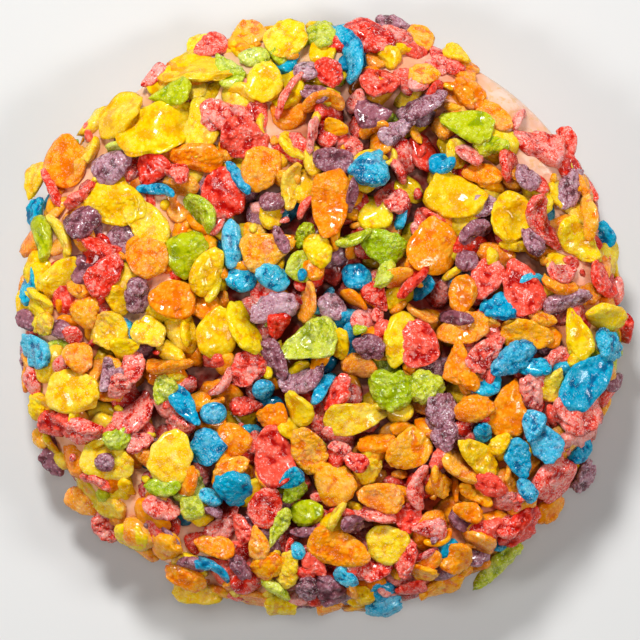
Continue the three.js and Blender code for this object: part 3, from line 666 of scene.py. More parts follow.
def stain_colours(flakes, x, y):
    """The colour that has run out of the flakes at each place: the mean of their bodies, each
    spread over the map with a bell curve."""
    cells = int(2 * MAP_REACH / MAP_CELL)
    i, j = ((flakes["at"][:, :2] + MAP_REACH) / MAP_CELL).astype(int).T
    body = np.array([flavour.body for flavour in FLAVOURS.values()])[flakes["flavour"]]
    sums = []
    for weights in (*body.T, np.ones(len(flakes))):
        field = np.zeros((cells, cells))
        np.add.at(field, (i, j), weights)
        sums.append(map_value(blurred(field, STAIN_CELLS), x, y))
    return np.stack(sums[:3], axis=1) / (sums[3][:, None] + 1e-12)


def settle(flakes):
    """Heaps the flakes one by one, lowest layer first, on a height map of the icing. A flake
    lies on the plane that fits the heights under its ellipse best, and no steeper than STEEPEST.
    Its seat is the height that SEATED of them reach, shifted by its kind's rise, high enough to
    hide COVERED of them, and kept between LOWEST_SEAT and HIGHEST_RISE over the bed. Then its
    own upper side, half an ellipsoid, raises the map. At last the small flakes that would poke
    through the leading ones over them are let down. Returns the flakes, how high the icing laps
    up round them, which is a part of the blurred heap, and the height map, blurred too."""
    axis = np.arange(-MAP_REACH, MAP_REACH, MAP_CELL)
    map_x, map_y = np.meshgrid(axis, axis, indexing="ij")
    heights = icing_height(map_x, map_y)
    lids = np.full_like(heights, np.inf)
    skins = {}
    half = true_sizes(flakes)
    tall = np.hypot(half[:, 1] * np.sin(flakes["lean"]), half[:, 2] * np.cos(flakes["lean"]))
    rises = across_of(flakes, "rise") * (1 - BARE_RISE_CUT * bareness(*flakes["at"][:, :2].T))
    rises *= 1 - FLUSH_RISE_CUT * flushness(*flakes["at"][:, :2].T)
    for i in np.argsort(flakes["layer"], kind="stable"):
        x, y, _ = flakes["at"][i]
        a, b = flakes["length"][i] / 2, flakes["width"][i] / 2
        low = np.clip(((np.array([x, y]) - a + MAP_REACH) / MAP_CELL).astype(int), 0, None)
        high = ((np.array([x, y]) + a + MAP_REACH) / MAP_CELL).astype(int) + 2
        window = (slice(low[0], high[0]), slice(low[1], high[1]))
        dx, dy = map_x[window] - x, map_y[window] - y
        cos, sin = math.cos(flakes["turn"][i]), math.sin(flakes["turn"][i])
        reach = ((dx * cos + dy * sin) / a) ** 2 + ((dy * cos - dx * sin) / b) ** 2
        under = reach < 1
        plan = np.stack([dx[under], dy[under], np.ones(under.sum())], axis=1)
        fit = np.linalg.lstsq(plan, heights[window][under], rcond=None)[0]
        steepness = math.hypot(fit[0], fit[1])
        slope = fit[:2] * min(1.0, STEEPEST / max(steepness, 1e-9))
        residual = heights[window][under] - plan[:, :2] @ slope
        dome_over = tall[i] * np.sqrt(1 - reach[under])
        seat = np.quantile(residual, SEATED) + tall[i] * (2 * rises[i] - 1)
        seat = max(seat, np.quantile(residual - dome_over, COVERED) + COVER)
        seat = min(seat, bed_height(x, y) + HIGHEST_RISE - tall[i])
        seat = max(seat, LOWEST_SEAT)
        flakes["at"][i, 2] = seat
        flakes["normal"][i] = (-slope[0], -slope[1], 1)
        skin = seat + plan[:, :2] @ slope + dome_over
        heights[window][under] = np.maximum(heights[window][under], skin)
        if flakes["fine"][i]:
            well_inside = reach[under] < LID_SHARE
            lids[window][under] = np.where(well_inside, skin, lids[window][under])
        else:
            skins[i] = window, under, skin
    for i, (window, under, skin) in skins.items():
        over = (skin - lids[window][under]).max() + MARGIN
        flakes["at"][i, 2] -= np.clip(over, 0, DEEPEST_DROP)
    heap = np.clip(heights - icing_height(map_x, map_y), 0, MOST_LAPPED)
    return flakes, LAP * blurred(heap, LAP_CELLS), blurred(heights, TOP_CELLS)


def hidden(flakes, leading):
    """Which flakes have their middles well inside the ellipse of a leading flake."""
    off = flakes["at"][:, None, :2] - leading["at"][None, :, :2]
    along, across = turned(off[..., 0], off[..., 1], -leading["turn"])
    share = (along / leading["length"]) ** 2 + (across / leading["width"]) ** 2
    return share.min(axis=1) < (0.5 * HIDDEN) ** 2


def side_flakes(seed):
    """Rows of flakes stuck flat round the side of the coat and pressed into it. The dome's slope
    gives how much each one faces upward: 0 up to the waist, and more above it. Under a bare
    patch they are pressed in deeper, and more of them are missing the higher they are."""
    rng = np.random.default_rng(seed)
    rows = []
    for height, count in SIDE_ROWS:
        flakes = np.zeros(count, FLAKE)
        angle = (np.arange(count) + rng.uniform(0, 0.8, count)) / count * 2 * np.pi
        z = height + rng.uniform(-SIDE_STRAY, SIDE_STRAY, count) * MM
        share = dome_share(z, BED_TOP)
        below = np.clip((WAIST_HEIGHT - z) / (WAIST_HEIGHT - LIP_HEIGHT), 0, 1)
        radius = outline(angle) * (BED_RADIUS * share - (BED_RADIUS - LIP_RADIUS) * below)
        radius += rng.uniform(*SIDE_SUNK, count) * MM
        radius -= BARE_SUNK * bareness(radius * np.cos(angle), radius * np.sin(angle))
        flakes["at"] = np.stack([radius * np.cos(angle), radius * np.sin(angle), z], axis=1)
        root = np.sqrt(1 - share**DOME_FLATNESS)
        upward = root * BED_RADIUS / (2 * share**3 * (BED_TOP - WAIST_HEIGHT))
        flakes["normal"] = np.stack([np.cos(angle), np.sin(angle), upward], axis=1)
        flakes["flavour"] = drawn_flavours(rng, flakes["at"][:, 0], flakes["at"][:, 1])
        flakes["kind"] = drawn_kinds(rng, SIDE_KINDS, count)
        flakes["length"] = rng.uniform(*SIDE_LENGTHS, count) * MM
        flakes["width"] = flakes["length"] * rng.uniform(*SIDE_WIDTHS, count)
        flakes["turn"] = rng.uniform(0, np.pi, count)
        missing = BARE_SIDE * bareness(*flakes["at"][:, :2].T)
        missing = missing * smooth_step(z, LIP_HEIGHT, WAIST_HEIGHT)
        rows.append(flakes[rng.random(count) > missing])
    return np.concatenate(rows)


@functools.lru_cache
def whole_heap(seed):
    """Every flake, in its place: packed ones, small ones, named ones, crumbs and side rows. The
    maps that settle() gives come with them."""
    packed = scattered_flakes(
        BASE_SEATS, (4.6 * MM, 7 * MM), PACKED_KINDS, layer=-2, reach=46 * MM, spread=14, seed=seed)
    small = scattered_flakes(
        SMALL_SEATS, (3.2 * MM, 5.6 * MM), SMALL_KINDS, layer=-1, reach=46.4 * MM, spread=30,
        seed=seed + 1)
    crumbs = scattered_flakes(
        CRUMB_SEATS, (1.3 * MM, 2.8 * MM), {"crumb": 1.0}, layer=0.5, reach=47 * MM, spread=20,
        seed=seed + 2)
    leading = leading_flakes(np.random.default_rng(seed + 4))
    little = np.concatenate([small, crumbs])
    little = little[~hidden(little, leading)]
    top, lap, heights = settle(np.concatenate([packed, little, leading]))
    side = side_flakes(seed + 3)
    pressed = hidden(side, leading) & (side["at"][:, 2] > SHOULDER)
    inwards = side["normal"] / np.linalg.norm(side["normal"], axis=1, keepdims=True)
    side["at"] -= PRESSED_IN * inwards * pressed[:, None]
    heap = np.concatenate([top, side])
    usual = np.array([flavour.rough for flavour in FLAVOURS.values()])[heap["flavour"]]
    spread = np.random.default_rng(seed + 6).uniform(*ROUGH_SPREAD, len(heap))
    heap["rough"] = usual * spread * (1 - ICED_OVER * bareness(*heap["at"][:, :2].T))
    return heap, lap, heights


# ---------------------------------------------------------------- surfaces


def ball_grid(rings, sides):
    """Directions of a closed skin with poles on X, and its faces. Ring i and side j face
    (cos u, sin u cos v, sin u sin v), u being i's share of a half turn and v being j's share of
    a full turn and a part of the sine of its double, which crowds them on the flat faces. The
    poles are the last two points."""
    u = np.pi * np.arange(1, rings + 1)[:, None] / (rings + 1)
    turn = 2 * np.pi * np.arange(sides)[None, :] / sides
    v = turn + 0.2 * np.sin(2 * turn)
    skin = np.stack([np.cos(u) + 0 * v, np.sin(u) * np.cos(v), np.sin(u) * np.sin(v)], axis=-1)
    ways = np.concatenate([skin.reshape(-1, 3), [[1, 0, 0], [-1, 0, 0]]])
    here = np.arange(rings * sides).reshape(rings, sides)
    there = np.roll(here, -1, axis=1)
    quads = np.stack([here[:-1], here[1:], there[1:], there[:-1]], axis=-1).reshape(-1, 4)
    first, last = rings * sides, rings * sides + 1
    near = np.stack([np.full(sides, first), here[0], there[0]], axis=-1)
    far = np.stack([np.full(sides, last), there[-1], here[-1]], axis=-1)
    return ways, quads, np.concatenate([near, far])


def power(values, exponent):
    """The values' sizes to a power, with their signs kept."""
    return np.sign(values) * np.abs(values) ** exponent


def ripples(rng, flake_count, points, count, frequency):
    """Smooth noise from about -1 to 1 for each flake: the mean of sine waves whose directions
    are random and whose angular frequency per unit is about `frequency`."""
    ways = rng.normal(size=(flake_count, 3, count)) * frequency
    phases = rng.uniform(0, 2 * np.pi, size=(flake_count, 1, count))
    return np.sin(points @ ways + phases).mean(axis=2) * 1.7


def bubbles(body, half, spots, sizes):
    """How high the puffed surface stands at each point, from 0 in the creases to 1 on the
    bubbles: 1 less the square of the distance to the nearest spot over the spots' mean spacing,
    which is the root of the skin's area over their number. A large spot counts as nearer."""
    centres = spots * half[:, None, :]
    square = (
        (body**2).sum(-1)[:, :, None]
        + (centres**2).sum(-1)[:, None, :]
        - 2 * body @ centres.transpose(0, 2, 1)
    )
    square = np.clip(square, 0, None) / sizes[:, None, :] ** 2
    a, b, c = half.T
    area = 2 * np.pi * a * b + np.pi * (a + b) * 2 * c
    spacing = np.sqrt(area / spots.shape[1])
    return 1 - np.clip(square.min(axis=2) / (SPOT_REACH * spacing[:, None] ** 2), 0, 1)


def flake_skins(flakes, rings, sides, spot_count, seed):
    """The skins of many flakes as an array of flakes by points, and how high each point stands
    on its bubbles. A skin is a ball drawn out to the flake's half sizes, squared off, waved by
    its lobes, raised by its bubbles and wrinkles, tapered, cupped, bent up along an arc, rolled
    by its lean and a twist, tilted, and then laid on its normal at its turn."""
    rng = np.random.default_rng(seed)
    count = len(flakes)
    ways, _, _ = ball_grid(rings, sides)
    half = true_sizes(flakes)
    column = {
        field: across_of(flakes, field)[:, None]
        for field in ("squareness", "taper", "bend", "lobes", "blister")
    }

    slow, quick = ripples(rng, count, ways, 5, 1.7), ripples(rng, count, ways, 7, 4.5)
    lobes = column["lobes"] * (slow + 0.5 * quick + 0.25 * ripples(rng, count, ways, 7, 8))
    box = rng.uniform(*CORNERS, size=(count, 2, 1))
    swell = 1 + lobes
    slab = power(ways[:, 2], column["squareness"]) * (1 + 0.5 * lobes)
    body = np.stack(
        [power(ways[:, 0], box[:, 0]) * swell, power(ways[:, 1], box[:, 1]) * swell, slab], axis=-1)
    body = body * half[:, None, :]
    wrinkle = ripples(rng, count, body / MM, 6, 1.3)

    spots = rng.normal(size=(count, spot_count, 3))
    spots /= np.linalg.norm(spots, axis=2, keepdims=True)
    crest = bubbles(body, half, spots, rng.uniform(*SPOT_SIZES, size=(count, spot_count)))
    outward = ways / half[:, None, :]
    outward /= np.linalg.norm(outward, axis=2, keepdims=True)
    size = np.clip(flakes["length"][:, None] / USUAL_LENGTH, 0.35, 1.15)
    blister = column["blister"] * flakes["rough"][:, None]
    lift = size * (blister * (crest - CREASE_SHARE) + WRINKLE * wrinkle)
    body = body + outward * lift[:, :, None]

    along = body[:, :, 0] / half[:, None, 0]
    across = body[:, :, 1] / half[:, None, 1]
    narrowing = 1 - column["taper"] * along * rng.choice([-1, 1], size=(count, 1))
    x, y, z = body[:, :, 0], body[:, :, 1] * narrowing, body[:, :, 2] * (1 + narrowing) / 2
    cup = rng.uniform(*CUPS, size=(count, 1)) * half[:, 1:2]
    z = z + cup * across**2 + WARP * half[:, 1:2] * ripples(rng, count, body / MM, 3, 0.5)
    bend = column["bend"] * rng.uniform(*BENDS, size=(count, 1))
    curvature = np.where(np.abs(bend) < LEAST_BEND, LEAST_BEND, bend) / half[:, :1]
    radius = 1 / curvature - z
    x, z = radius * np.sin(curvature * x), 1 / curvature - radius * np.cos(curvature * x)
    z = z - z.mean(axis=1, keepdims=True)
    twist = rng.uniform(-MOST_TWIST, MOST_TWIST, size=(count, 1)) * along
    y, z = turned(y, z, flakes["lean"][:, None] + twist)
    tilt = rng.uniform(-MOST_TILT, MOST_TILT, size=(count, 1))
    x, z = turned(x, z, np.radians(tilt))

    up = flakes["normal"] / np.linalg.norm(flakes["normal"], axis=1, keepdims=True)
    start = np.where(np.abs(up[:, 2:]) > 0.5, [1.0, 0.0, 0.0], [0.0, 0.0, 1.0])
    east = start - (start * up).sum(axis=1, keepdims=True) * up
    east /= np.linalg.norm(east, axis=1, keepdims=True)
    length_way, width_way = turned(east, np.cross(up, east), -flakes["turn"][:, None])
    width_way = np.cross(up, length_way)
    skins = (
        flakes["at"][:, None, :]
        + x[:, :, None] * length_way[:, None, :]
        + y[:, :, None] * width_way[:, None, :]
        + z[:, :, None] * up[:, None, :]
    )
    return skins, crest


def painted_heap_shade(skins, top):
    """How much painted shade the points get for lying down in the heap: 0 on its top, 1 at the
    floor of its middle. A point counts as deep under the bed, which fades out to the rim and in
    flush icing, or under the smoothed tops of the flakes round it, which counts for half as much at
    the rim."""
    x, y, z = np.moveaxis(skins, -1, 0)
    inner = (1 - smooth_step(np.hypot(x, y), 36 * MM, 44 * MM)) * (1 - 0.8 * flushness(x, y))
    under_bed = inner * smooth_step(bed_height(x, y) + 0.9 * MM - z, 0, 2.4 * MM)
    under_tops = smooth_step(map_value(top, x, y) - z, 0.25 * MM, 2 * MM)
    return np.maximum(under_bed, (UNDER_TOPS + UNDER_TOPS * inner) * under_tops)


def mesh_object(name, points, quads, triangles, values):
    """A mesh object at the origin from arrays of points and faces, smooth, with one float
    attribute for each of the values."""
    mesh = bpy.data.meshes.new(name)
    mesh.vertices.add(len(points))
    mesh.vertices.foreach_set("co", np.ascontiguousarray(points, dtype=np.float32).ravel())
    corners = np.concatenate([np.ravel(quads), np.ravel(triangles)]).astype(np.int32)
    starts = np.concatenate([
        4 * np.arange(len(quads)), 4 * len(quads) + 3 * np.arange(len(triangles)),
    ]).astype(np.int32)
    mesh.loops.add(len(corners))
    mesh.loops.foreach_set("vertex_index", corners)
    mesh.polygons.add(len(starts))
    mesh.polygons.foreach_set("loop_start", starts)
    mesh.update(calc_edges=True)
    mesh.validate()
    mesh.shade_smooth()
    for key, value in values.items():
        attribute = mesh.attributes.new(key, "FLOAT", "POINT")
        attribute.data.foreach_set("value", np.ascontiguousarray(value, dtype=np.float32).ravel())
    thing = bpy.data.objects.new(name, mesh)
    bpy.context.scene.collection.objects.link(thing)
    return thing


def joined_skins(batches):
    """Points, quads, triangles and values of several batches of like skins as one mesh."""
    points, quads, triangles, values = [], [], [], []
    start = 0
    for skins, grid, batch_values in batches:
        count, size = skins.shape[:2]
        shift = (start + size * np.arange(count))[:, None, None]
        points.append(skins.reshape(-1, 3))
        quads.append((grid[1][None] + shift).reshape(-1, 4))
        triangles.append((grid[2][None] + shift).reshape(-1, 3))
        values.append({key: np.ravel(value) for key, value in batch_values.items()})
        start += count * size
    merged = {key: np.concatenate([value[key] for value in values]) for key in values[0]}
    return np.concatenate(points), np.concatenate(quads), np.concatenate(triangles), merged


def lathe(section, steps):
    """A closed body turned about Z. The section is an array of (radius, height) whose first and
    last points lie on the axis; it runs from the underside up to the top. Returns the points
    between the ends as rows by steps, and the faces with the two ends as poles."""
    angle = 2 * np.pi * np.arange(steps) / steps
    radius, height = section[1:-1, 0][:, None], section[1:-1, 1][:, None]
    x, y = radius * np.cos(angle) * outline(angle), radius * np.sin(angle) * outline(angle)
    rows = np.stack([x, y, np.broadcast_to(height, x.shape)], axis=-1)
    here = np.arange(rows.shape[0] * steps).reshape(-1, steps)
    there = np.roll(here, -1, axis=1)
    quads = np.stack([here[:-1], there[:-1], there[1:], here[1:]], axis=-1).reshape(-1, 4)
    bottom, top = here.size, here.size + 1
    lower = np.stack([np.full(steps, bottom), there[0], here[0]], axis=-1)
    upper = np.stack([np.full(steps, top), here[-1], there[-1]], axis=-1)
    return rows, quads, np.concatenate([lower, upper])


def with_poles(rows, section):
    """The rows of a lathe as one list of points, with its two poles at the end."""
    poles = np.array([[0, 0, section[0, 1]], [0, 0, section[-1, 1]]])
    return np.concatenate([rows.reshape(-1, 3), poles])


def cookie_section(count):
    """The baked cookie's half section: a flat foot, a bellied side that is a quarter ellipse,
    and the dome, which the icing hides."""
    share = np.linspace(0, 1, count)
    foot = np.stack([share[:-1] * FOOT_RADIUS * FOOT_SHARE, 0 * share[:-1]], axis=1)
    swing = np.linspace(0, np.pi / 2, count)
    belly = COOKIE_RADIUS - FOOT_RADIUS
    side = np.stack(
        [FOOT_RADIUS + belly * np.sin(swing), WAIST_HEIGHT * (1 - np.cos(swing))], axis=1)
    rise = np.sin(swing)[1:]
    height = WAIST_HEIGHT + (COOKIE_TOP - WAIST_HEIGHT) * rise
    top = np.stack([COOKIE_RADIUS * dome_share(height, COOKIE_TOP), height], axis=1)
    return np.concatenate([foot, side, top])


def icing_section(count):
    """The coat's half section: from the axis inside the cookie out to the lip's rounded edge,
    then up the side and over the dome."""
    inside = np.array([[0, WAIST_HEIGHT], [0.9 * COOKIE_RADIUS, WAIST_HEIGHT]])
    swing = np.linspace(-0.5 * np.pi, 0.25 * np.pi, 7)
    bead = 0.9 * MM
    lip = np.stack(
        [LIP_RADIUS - 1.4 * MM + bead * np.cos(swing), LIP_HEIGHT + bead * (1 + np.sin(swing))],
        axis=1)
    tuck = np.array([[COOKIE_RADIUS - 0.6 * MM, LIP_HEIGHT + 1.5 * MM]])
    rise = np.sin(np.linspace(0, np.pi / 2, count))
    height = WAIST_HEIGHT + (BED_TOP - WAIST_HEIGHT) * rise
    radius = BED_RADIUS * dome_share(height, BED_TOP) - RIM_ICING * (1 - rise)
    return np.concatenate([inside, tuck, lip, np.stack([radius, height], axis=1)])


# ---------------------------------------------------------------- materials

PALE_ICING = (0.94, 0.74, 0.6)
GRIT_COLOUR = (0.78, 0.42, 0.12)
GRAIN_SHADE = (0.35, 0.17, 0.06)


class Graph:
    """A material's nodes, with short calls to add them."""

    def __init__(self, name):
        self.material = bpy.data.materials.new(name)
        self.material.use_nodes = True
        self.nodes = self.material.node_tree.nodes
        self.links = self.material.node_tree.links
        self.shader = self.nodes["Principled BSDF"]
        self.place = self.nodes.new("ShaderNodeTexCoord").outputs["Object"]

    def add(self, kind, inputs=None, **settings):
        """A node with its settings, whose inputs are constants or other nodes' outputs."""
        node = self.nodes.new("ShaderNode" + kind)
        for key, value in settings.items():
            setattr(node, key, value)
        for key, value in (inputs or {}).items():
            self.set(node.inputs[key], value)
        return node

    def set(self, socket, value):
        """Gives a socket a constant or links it to an output."""
        if isinstance(value, bpy.types.NodeSocket):
            self.links.new(value, socket)
        else:
            socket.default_value = value

    def noise(self, size, detail=2.0, roughness=0.5):
        """Noise from 0 to 1 whose features are `size` metres wide."""
        inputs = {
            "Vector": self.place, "Scale": 1 / size, "Detail": detail, "Roughness": roughness}
        return self.add("TexNoise", inputs).outputs["Fac"]

    def grains(self, size):
        """Distance from 0 at the middle of a grain outwards, in grains of `size` metres."""
        return self.add("TexVoronoi", {"Vector": self.place, "Scale": 1 / size}).outputs["Distance"]

    def value(self, name):
        """A float attribute of the mesh."""
        return self.add("Attribute", attribute_name=name).outputs["Fac"]

    def math(self, operation, a, b=0.0, c=0.0):
        """A sum, product or other operation on numbers."""
        node = self.add("Math", operation=operation)
        for socket, value in zip(node.inputs, (a, b, c)):
            self.set(socket, value)
        return node.outputs["Value"]

    def ramp(self, value, low, high, start=0.0, end=1.0):
        """Carries low..high smoothly to start..end."""
        inputs = {
            "Value": value, "From Min": low, "From Max": high, "To Min": start, "To Max": end}
        node = self.add("MapRange", inputs, interpolation_type="SMOOTHSTEP")
        return node.outputs["Result"]

    def mix(self, share, a, b, blend="MIX"):
        """Colour a, with b over it by a share."""
        node = self.add("Mix", data_type="RGBA", blend_type=blend)
        self.set(node.inputs[0], share)
        for socket, value in ((node.inputs[6], a), (node.inputs[7], b)):
            self.set(socket, (*value, 1.0) if isinstance(value, tuple) else value)
        return node.outputs[2]

    def bump(self, height, distance, below=None, strength=1.0):
        """Bumps of a depth in metres, over those of another bump."""
        inputs = {"Height": height, "Distance": distance, "Strength": strength}
        if below is not None:
            inputs["Normal"] = below
        return self.add("Bump", inputs).outputs["Normal"]

    def finish(self, **sockets):
        """Sets the shader's sockets by name, underscores standing for spaces."""
        for key, value in sockets.items():
            self.set(self.shader.inputs[key.replace("_", " ")], value)
        return self.material


def flake_material(name, flavour, frost):
    """Puffed rice: a deep colour in the creases, darker there partly as painted shade, and the
    body's colour over it, with painted light that makes the tops of the bubbles paler as if lit
    through, and painted highlights in round spots on them. Sugar has dried on in grains, in chalky
    patches that also serve as a painted broad sheen, and in bright specks that also serve as
    painted glints, and over all is a thin clear coat. Painted shade darkens the points that lie
    down in the heap. The rougher a flake is, the stronger its bumps are."""
    g = Graph("flake_" + name)
    crest, tone, sugar = g.value("crest"), g.value("tone"), g.value("sugar")
    cell = g.ramp(g.grains(0.8 * MM), 0.0, 0.75, 1.0, 0.0)
    blotch, fine = g.noise(1.8 * MM, 3.0, 0.6), g.noise(0.34 * MM, 2.0, 0.6)
    raised = g.math("MULTIPLY_ADD", cell, 0.3, g.math("MULTIPLY", crest, 0.7))
    raised = g.math("MULTIPLY_ADD", g.math("SUBTRACT", blotch, 0.5), 1.1, raised)
    body = g.mix(g.ramp(tone, 0.1, 0.9), flavour.body, flavour.other)
    # Deeper colour in the creases between the bubbles: partly the coating's own colour, partly painted
    # shade.
    colour = g.mix(g.ramp(raised, 0.1, 0.55), flavour.hollow, body)
    # Painted light: the tops of the bubbles turn paler, as if lit through.
    painted_glow = g.ramp(raised, 0.62, 1.0, 0.0, 0.7 * flavour.painted_glow)
    colour = g.mix(painted_glow, colour, flavour.frost)
    # Painted highlights: pale round spots on the bubbles.
    painted_bubble_highlight = g.ramp(g.grains(1.2 * MM), 0.16, 0.4, flavour.painted_glow, 0.0)
    painted_bubble_highlight = g.math("MULTIPLY", painted_bubble_highlight, g.ramp(raised, 0.3, 0.7))
    colour = g.mix(painted_bubble_highlight, colour, flavour.frost)
    grainy = g.math("MULTIPLY_ADD", fine, 1.3, g.math("MULTIPLY", raised, 0.55))
    grainy = g.math("MULTIPLY_ADD", sugar, 0.34, grainy)
    cover = g.ramp(grainy, 0.95, 1.25, 0.0, frost * flavour.frosted)
    colour = g.mix(cover, colour, flavour.frost)
    # Chalky patches of dried sugar, which also serve as a painted broad sheen.
    dried_sugar_and_sheen = g.ramp(g.math("MULTIPLY_ADD", sugar, 0.2, g.noise(2.3 * MM, 3.0, 0.7)), 0.56, 0.74)
    dried_sugar_and_sheen = g.math("MULTIPLY", dried_sugar_and_sheen, 0.7 * frost * flavour.frosted)
    chalky_sugar_and_sheen = tuple(0.65 * c + 0.3 for c in flavour.frost)
    colour = g.mix(dried_sugar_and_sheen, colour, chalky_sugar_and_sheen)
    # Bright specks of sugar, which also serve as painted glints.
    speck_and_glint = g.ramp(g.noise(0.27 * MM, 3.0, 0.75), 0.56, 0.64)
    patch = g.math("MULTIPLY_ADD", sugar, 0.25, g.noise(1.1 * MM, 2.0))
    speck_and_glint = g.math("MULTIPLY", speck_and_glint, g.ramp(patch, 0.4, 0.58, 0.0, 1.5 * flavour.frosted))
    bright = tuple(0.3 * c + 0.66 for c in flavour.frost)
    colour = g.mix(speck_and_glint, colour, bright)
    # Painted shade: points that lie down in the heap darken towards a fifth of the crease colour.
    shade = tuple(0.2 * c for c in flavour.hollow)
    shaded = g.math("MULTIPLY", g.value("painted_heap_shade"), 0.9)
    colour = g.mix(shaded, colour, shade)
    under = g.bump(cell, 0.24 * MM, strength=g.value("rough"))
    normal = g.bump(fine, 0.1 * MM, under)
    return g.finish(
        Base_Color=colour,
        Roughness=g.ramp(cover, 0.0, 0.5, 0.2, 0.42),
        Normal=normal,
        Specular_IOR_Level=0.04,
        Subsurface_Weight=0.25,
        Subsurface_Radius=(1.0, 0.5, 0.2),
        Subsurface_Scale=0.7 * MM,
        Coat_Weight=0.42,
        Coat_Roughness=0.1,
    )


def icing_material(colour):
    """Soft glossy icing with stains from the flakes, darkened by painted shade under the middle of
    the heap, which the mesh carries as red, green and blue shares. It is dull and has no coat where
    it is stained and shaded most, under the heap, and has crumbs in it where it is bare."""
    g = Graph("icing")
    tint = g.add("CombineColor", {
        "Red": g.value("stain_and_shade_r"), "Green": g.value("stain_and_shade_g"), "Blue": g.value("stain_and_shade_b")})
    stain_and_shade = g.value("stain_and_shade")
    blotch = g.ramp(g.noise(5 * MM, 3.0), 0.3, 0.7, 0.75, 1.15)
    pale = g.mix(g.ramp(g.noise(2.2 * MM, 2.0), 0.35, 0.7), colour, PALE_ICING)
    tinted = g.mix(g.math("MULTIPLY", stain_and_shade, blotch), pale, tint.outputs["Color"])
    grit = g.ramp(g.noise(1.3 * MM, 4.0, 0.7), 0.53, 0.6)
    grit = g.math("MULTIPLY", grit, g.ramp(stain_and_shade, 0.26, 0.42, 0.6, 0.0))
    tinted = g.mix(grit, tinted, GRIT_COLOUR)
    under = g.bump(g.noise(2.4 * MM, 2.0), 0.3 * MM)
    normal = g.bump(g.noise(0.5 * MM, 3.0, 0.6), 0.06 * MM, under)
    return g.finish(
        Base_Color=tinted,
        Roughness=g.ramp(stain_and_shade, 0.4, 0.9, 0.32, 0.8),
        Normal=normal,
        Specular_IOR_Level=0.2,
        Subsurface_Weight=0.3,
        Subsurface_Radius=(1.0, 0.6, 0.45),
        Subsurface_Scale=1.6 * MM,
        Coat_Weight=g.ramp(stain_and_shade, 0.4, 0.7, 0.2, 0.0),
        Coat_Roughness=0.18,
    )


def dough_material(crumb_colour, crust_colour):
    """Baked dough: a sandy crumb, browner in patches and towards the foot, with small pits."""
    g = Graph("baked_dough")
    height = g.add("SeparateXYZ", {"Vector": g.place}).outputs["Z"]
    patch = g.noise(6 * MM, 4.0, 0.6)
    low = g.ramp(height, 0.0, 5 * MM, 0.85, 0.0)
    brown = g.math("ADD", low, g.ramp(patch, 0.35, 0.7, -0.25, 0.4))
    colour = g.mix(g.ramp(brown, 0.0, 1.0), crumb_colour, crust_colour)
    grain = g.noise(0.5 * MM, 3.0, 0.65)
    colour = g.mix(g.ramp(grain, 0.35, 0.7, 0.35, 0.0), colour, GRAIN_SHADE)
    pits = g.ramp(g.grains(1.7 * MM), 0.05, 0.3, 0.0, 1.0)
    under = g.bump(pits, 0.25 * MM)
    normal = g.bump(grain, 0.16 * MM, under)
    return g.finish(
        Base_Color=colour,
        Roughness=0.82,
        Normal=normal,
        Specular_IOR_Level=0.3,
        Subsurface_Weight=0.12,
        Subsurface_Radius=(1.0, 0.5, 0.25),
        Subsurface_Scale=1.2 * MM,
    )


def paint(thing, material, node):
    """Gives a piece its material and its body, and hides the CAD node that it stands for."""
    thing.data.materials.append(material)
    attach(thing, "root")
    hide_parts(node)


# ---------------------------------------------------------------- settings and operators


def colour_property(name, description, default):
    """A linear colour that a user can change."""
    return FloatVectorProperty(
        name=name, description=description, subtype="COLOR", size=3, min=0, max=1,
        default=default)


class HeapSettings(bpy.types.PropertyGroup):
    """The heap of flakes."""

    seed: IntProperty(name="Seed", description="Draws another heap between the same leading flakes",
                      default=7, min=0)
    frost: FloatProperty(name="Frost", description="How much sugar shows on the bubbles",
                         default=1.0, min=0, max=1, subtype="FACTOR")


class CookieSettings(bpy.types.PropertyGroup):
    """The baked cookie and its coat of icing."""

    icing: colour_property("Icing", "Colour of the coat", (0.9, 0.6, 0.4))
    crumb: colour_property("Crumb", "Colour of the baked dough", (0.78, 0.53, 0.26))
    crust: colour_property("Crust", "Colour where it has browned", (0.56, 0.29, 0.1))
    crumb_depth: FloatProperty(name="Crumb depth", description="Roughness of the side",
                               default=0.35 * MM, min=0, unit="LENGTH")


class StudioSettings(bpy.types.PropertyGroup):
    """The light, the floor and the camera."""

    key_power: FloatProperty(name="Key light", description="Power of the light at the back",
                             default=4.7, min=0, unit="POWER")
    fill_power: FloatProperty(name="Fill lights", description="Power of each light at the sides",
                              default=1.5, min=0, unit="POWER")
    overhead_power: FloatProperty(name="Overhead light", description="Power of the light overhead",
                                  default=1.2, min=0, unit="POWER")
    sky: FloatProperty(name="Sky", description="Strength of the even light from all sides",
                       default=0.05, min=0)
    floor: colour_property("Floor", "Colour of the floor", (0.7, 0.7, 0.69))
    distance: FloatProperty(name="Distance", description="From the camera to the cookie",
                            default=0.9, min=0.2, unit="LENGTH")
    image_width: FloatProperty(name="Image width", description="Width of what the camera sees",
                               default=102.4 * MM, min=0.01, unit="LENGTH")


class BuildCookie(bpy.types.Operator):
    """Baked cookie: a lathe body whose side is roughened by crumbs and cracks"""

    bl_idname = "cereal_cookie.cookie"
    bl_label = "Baked Cookie"

    def execute(self, context):
        settings = context.scene.cookie_settings
        section = cookie_section(COOKIE_ROWS)
        rows, quads, triangles = lathe(section, COOKIE_STEPS)
        points = with_poles(rows, section)
        out = points * [1, 1, 0] / np.maximum(np.hypot(*points[:, :2].T), 1e-6)[:, None]
        shown = smooth_step(points[:, 2], 0.4 * MM, 2 * MM)
        rough = 0.6 * waves(points, 2.2 * MM, 41, 9) + 0.6 * waves(points, 0.9 * MM, 42, 9)
        rough -= 1.6 * smooth_step(waves(points, 4 * MM, 43, 7), 0.45, 0.75)
        points = points + out * (settings.crumb_depth * rough * shown)[:, None]
        cookie = mesh_object("baked_cookie", points, quads, triangles, {})
        material = dough_material(tuple(settings.crumb), tuple(settings.crust))
        paint(cookie, material, "cookie")
        return {"FINISHED"}


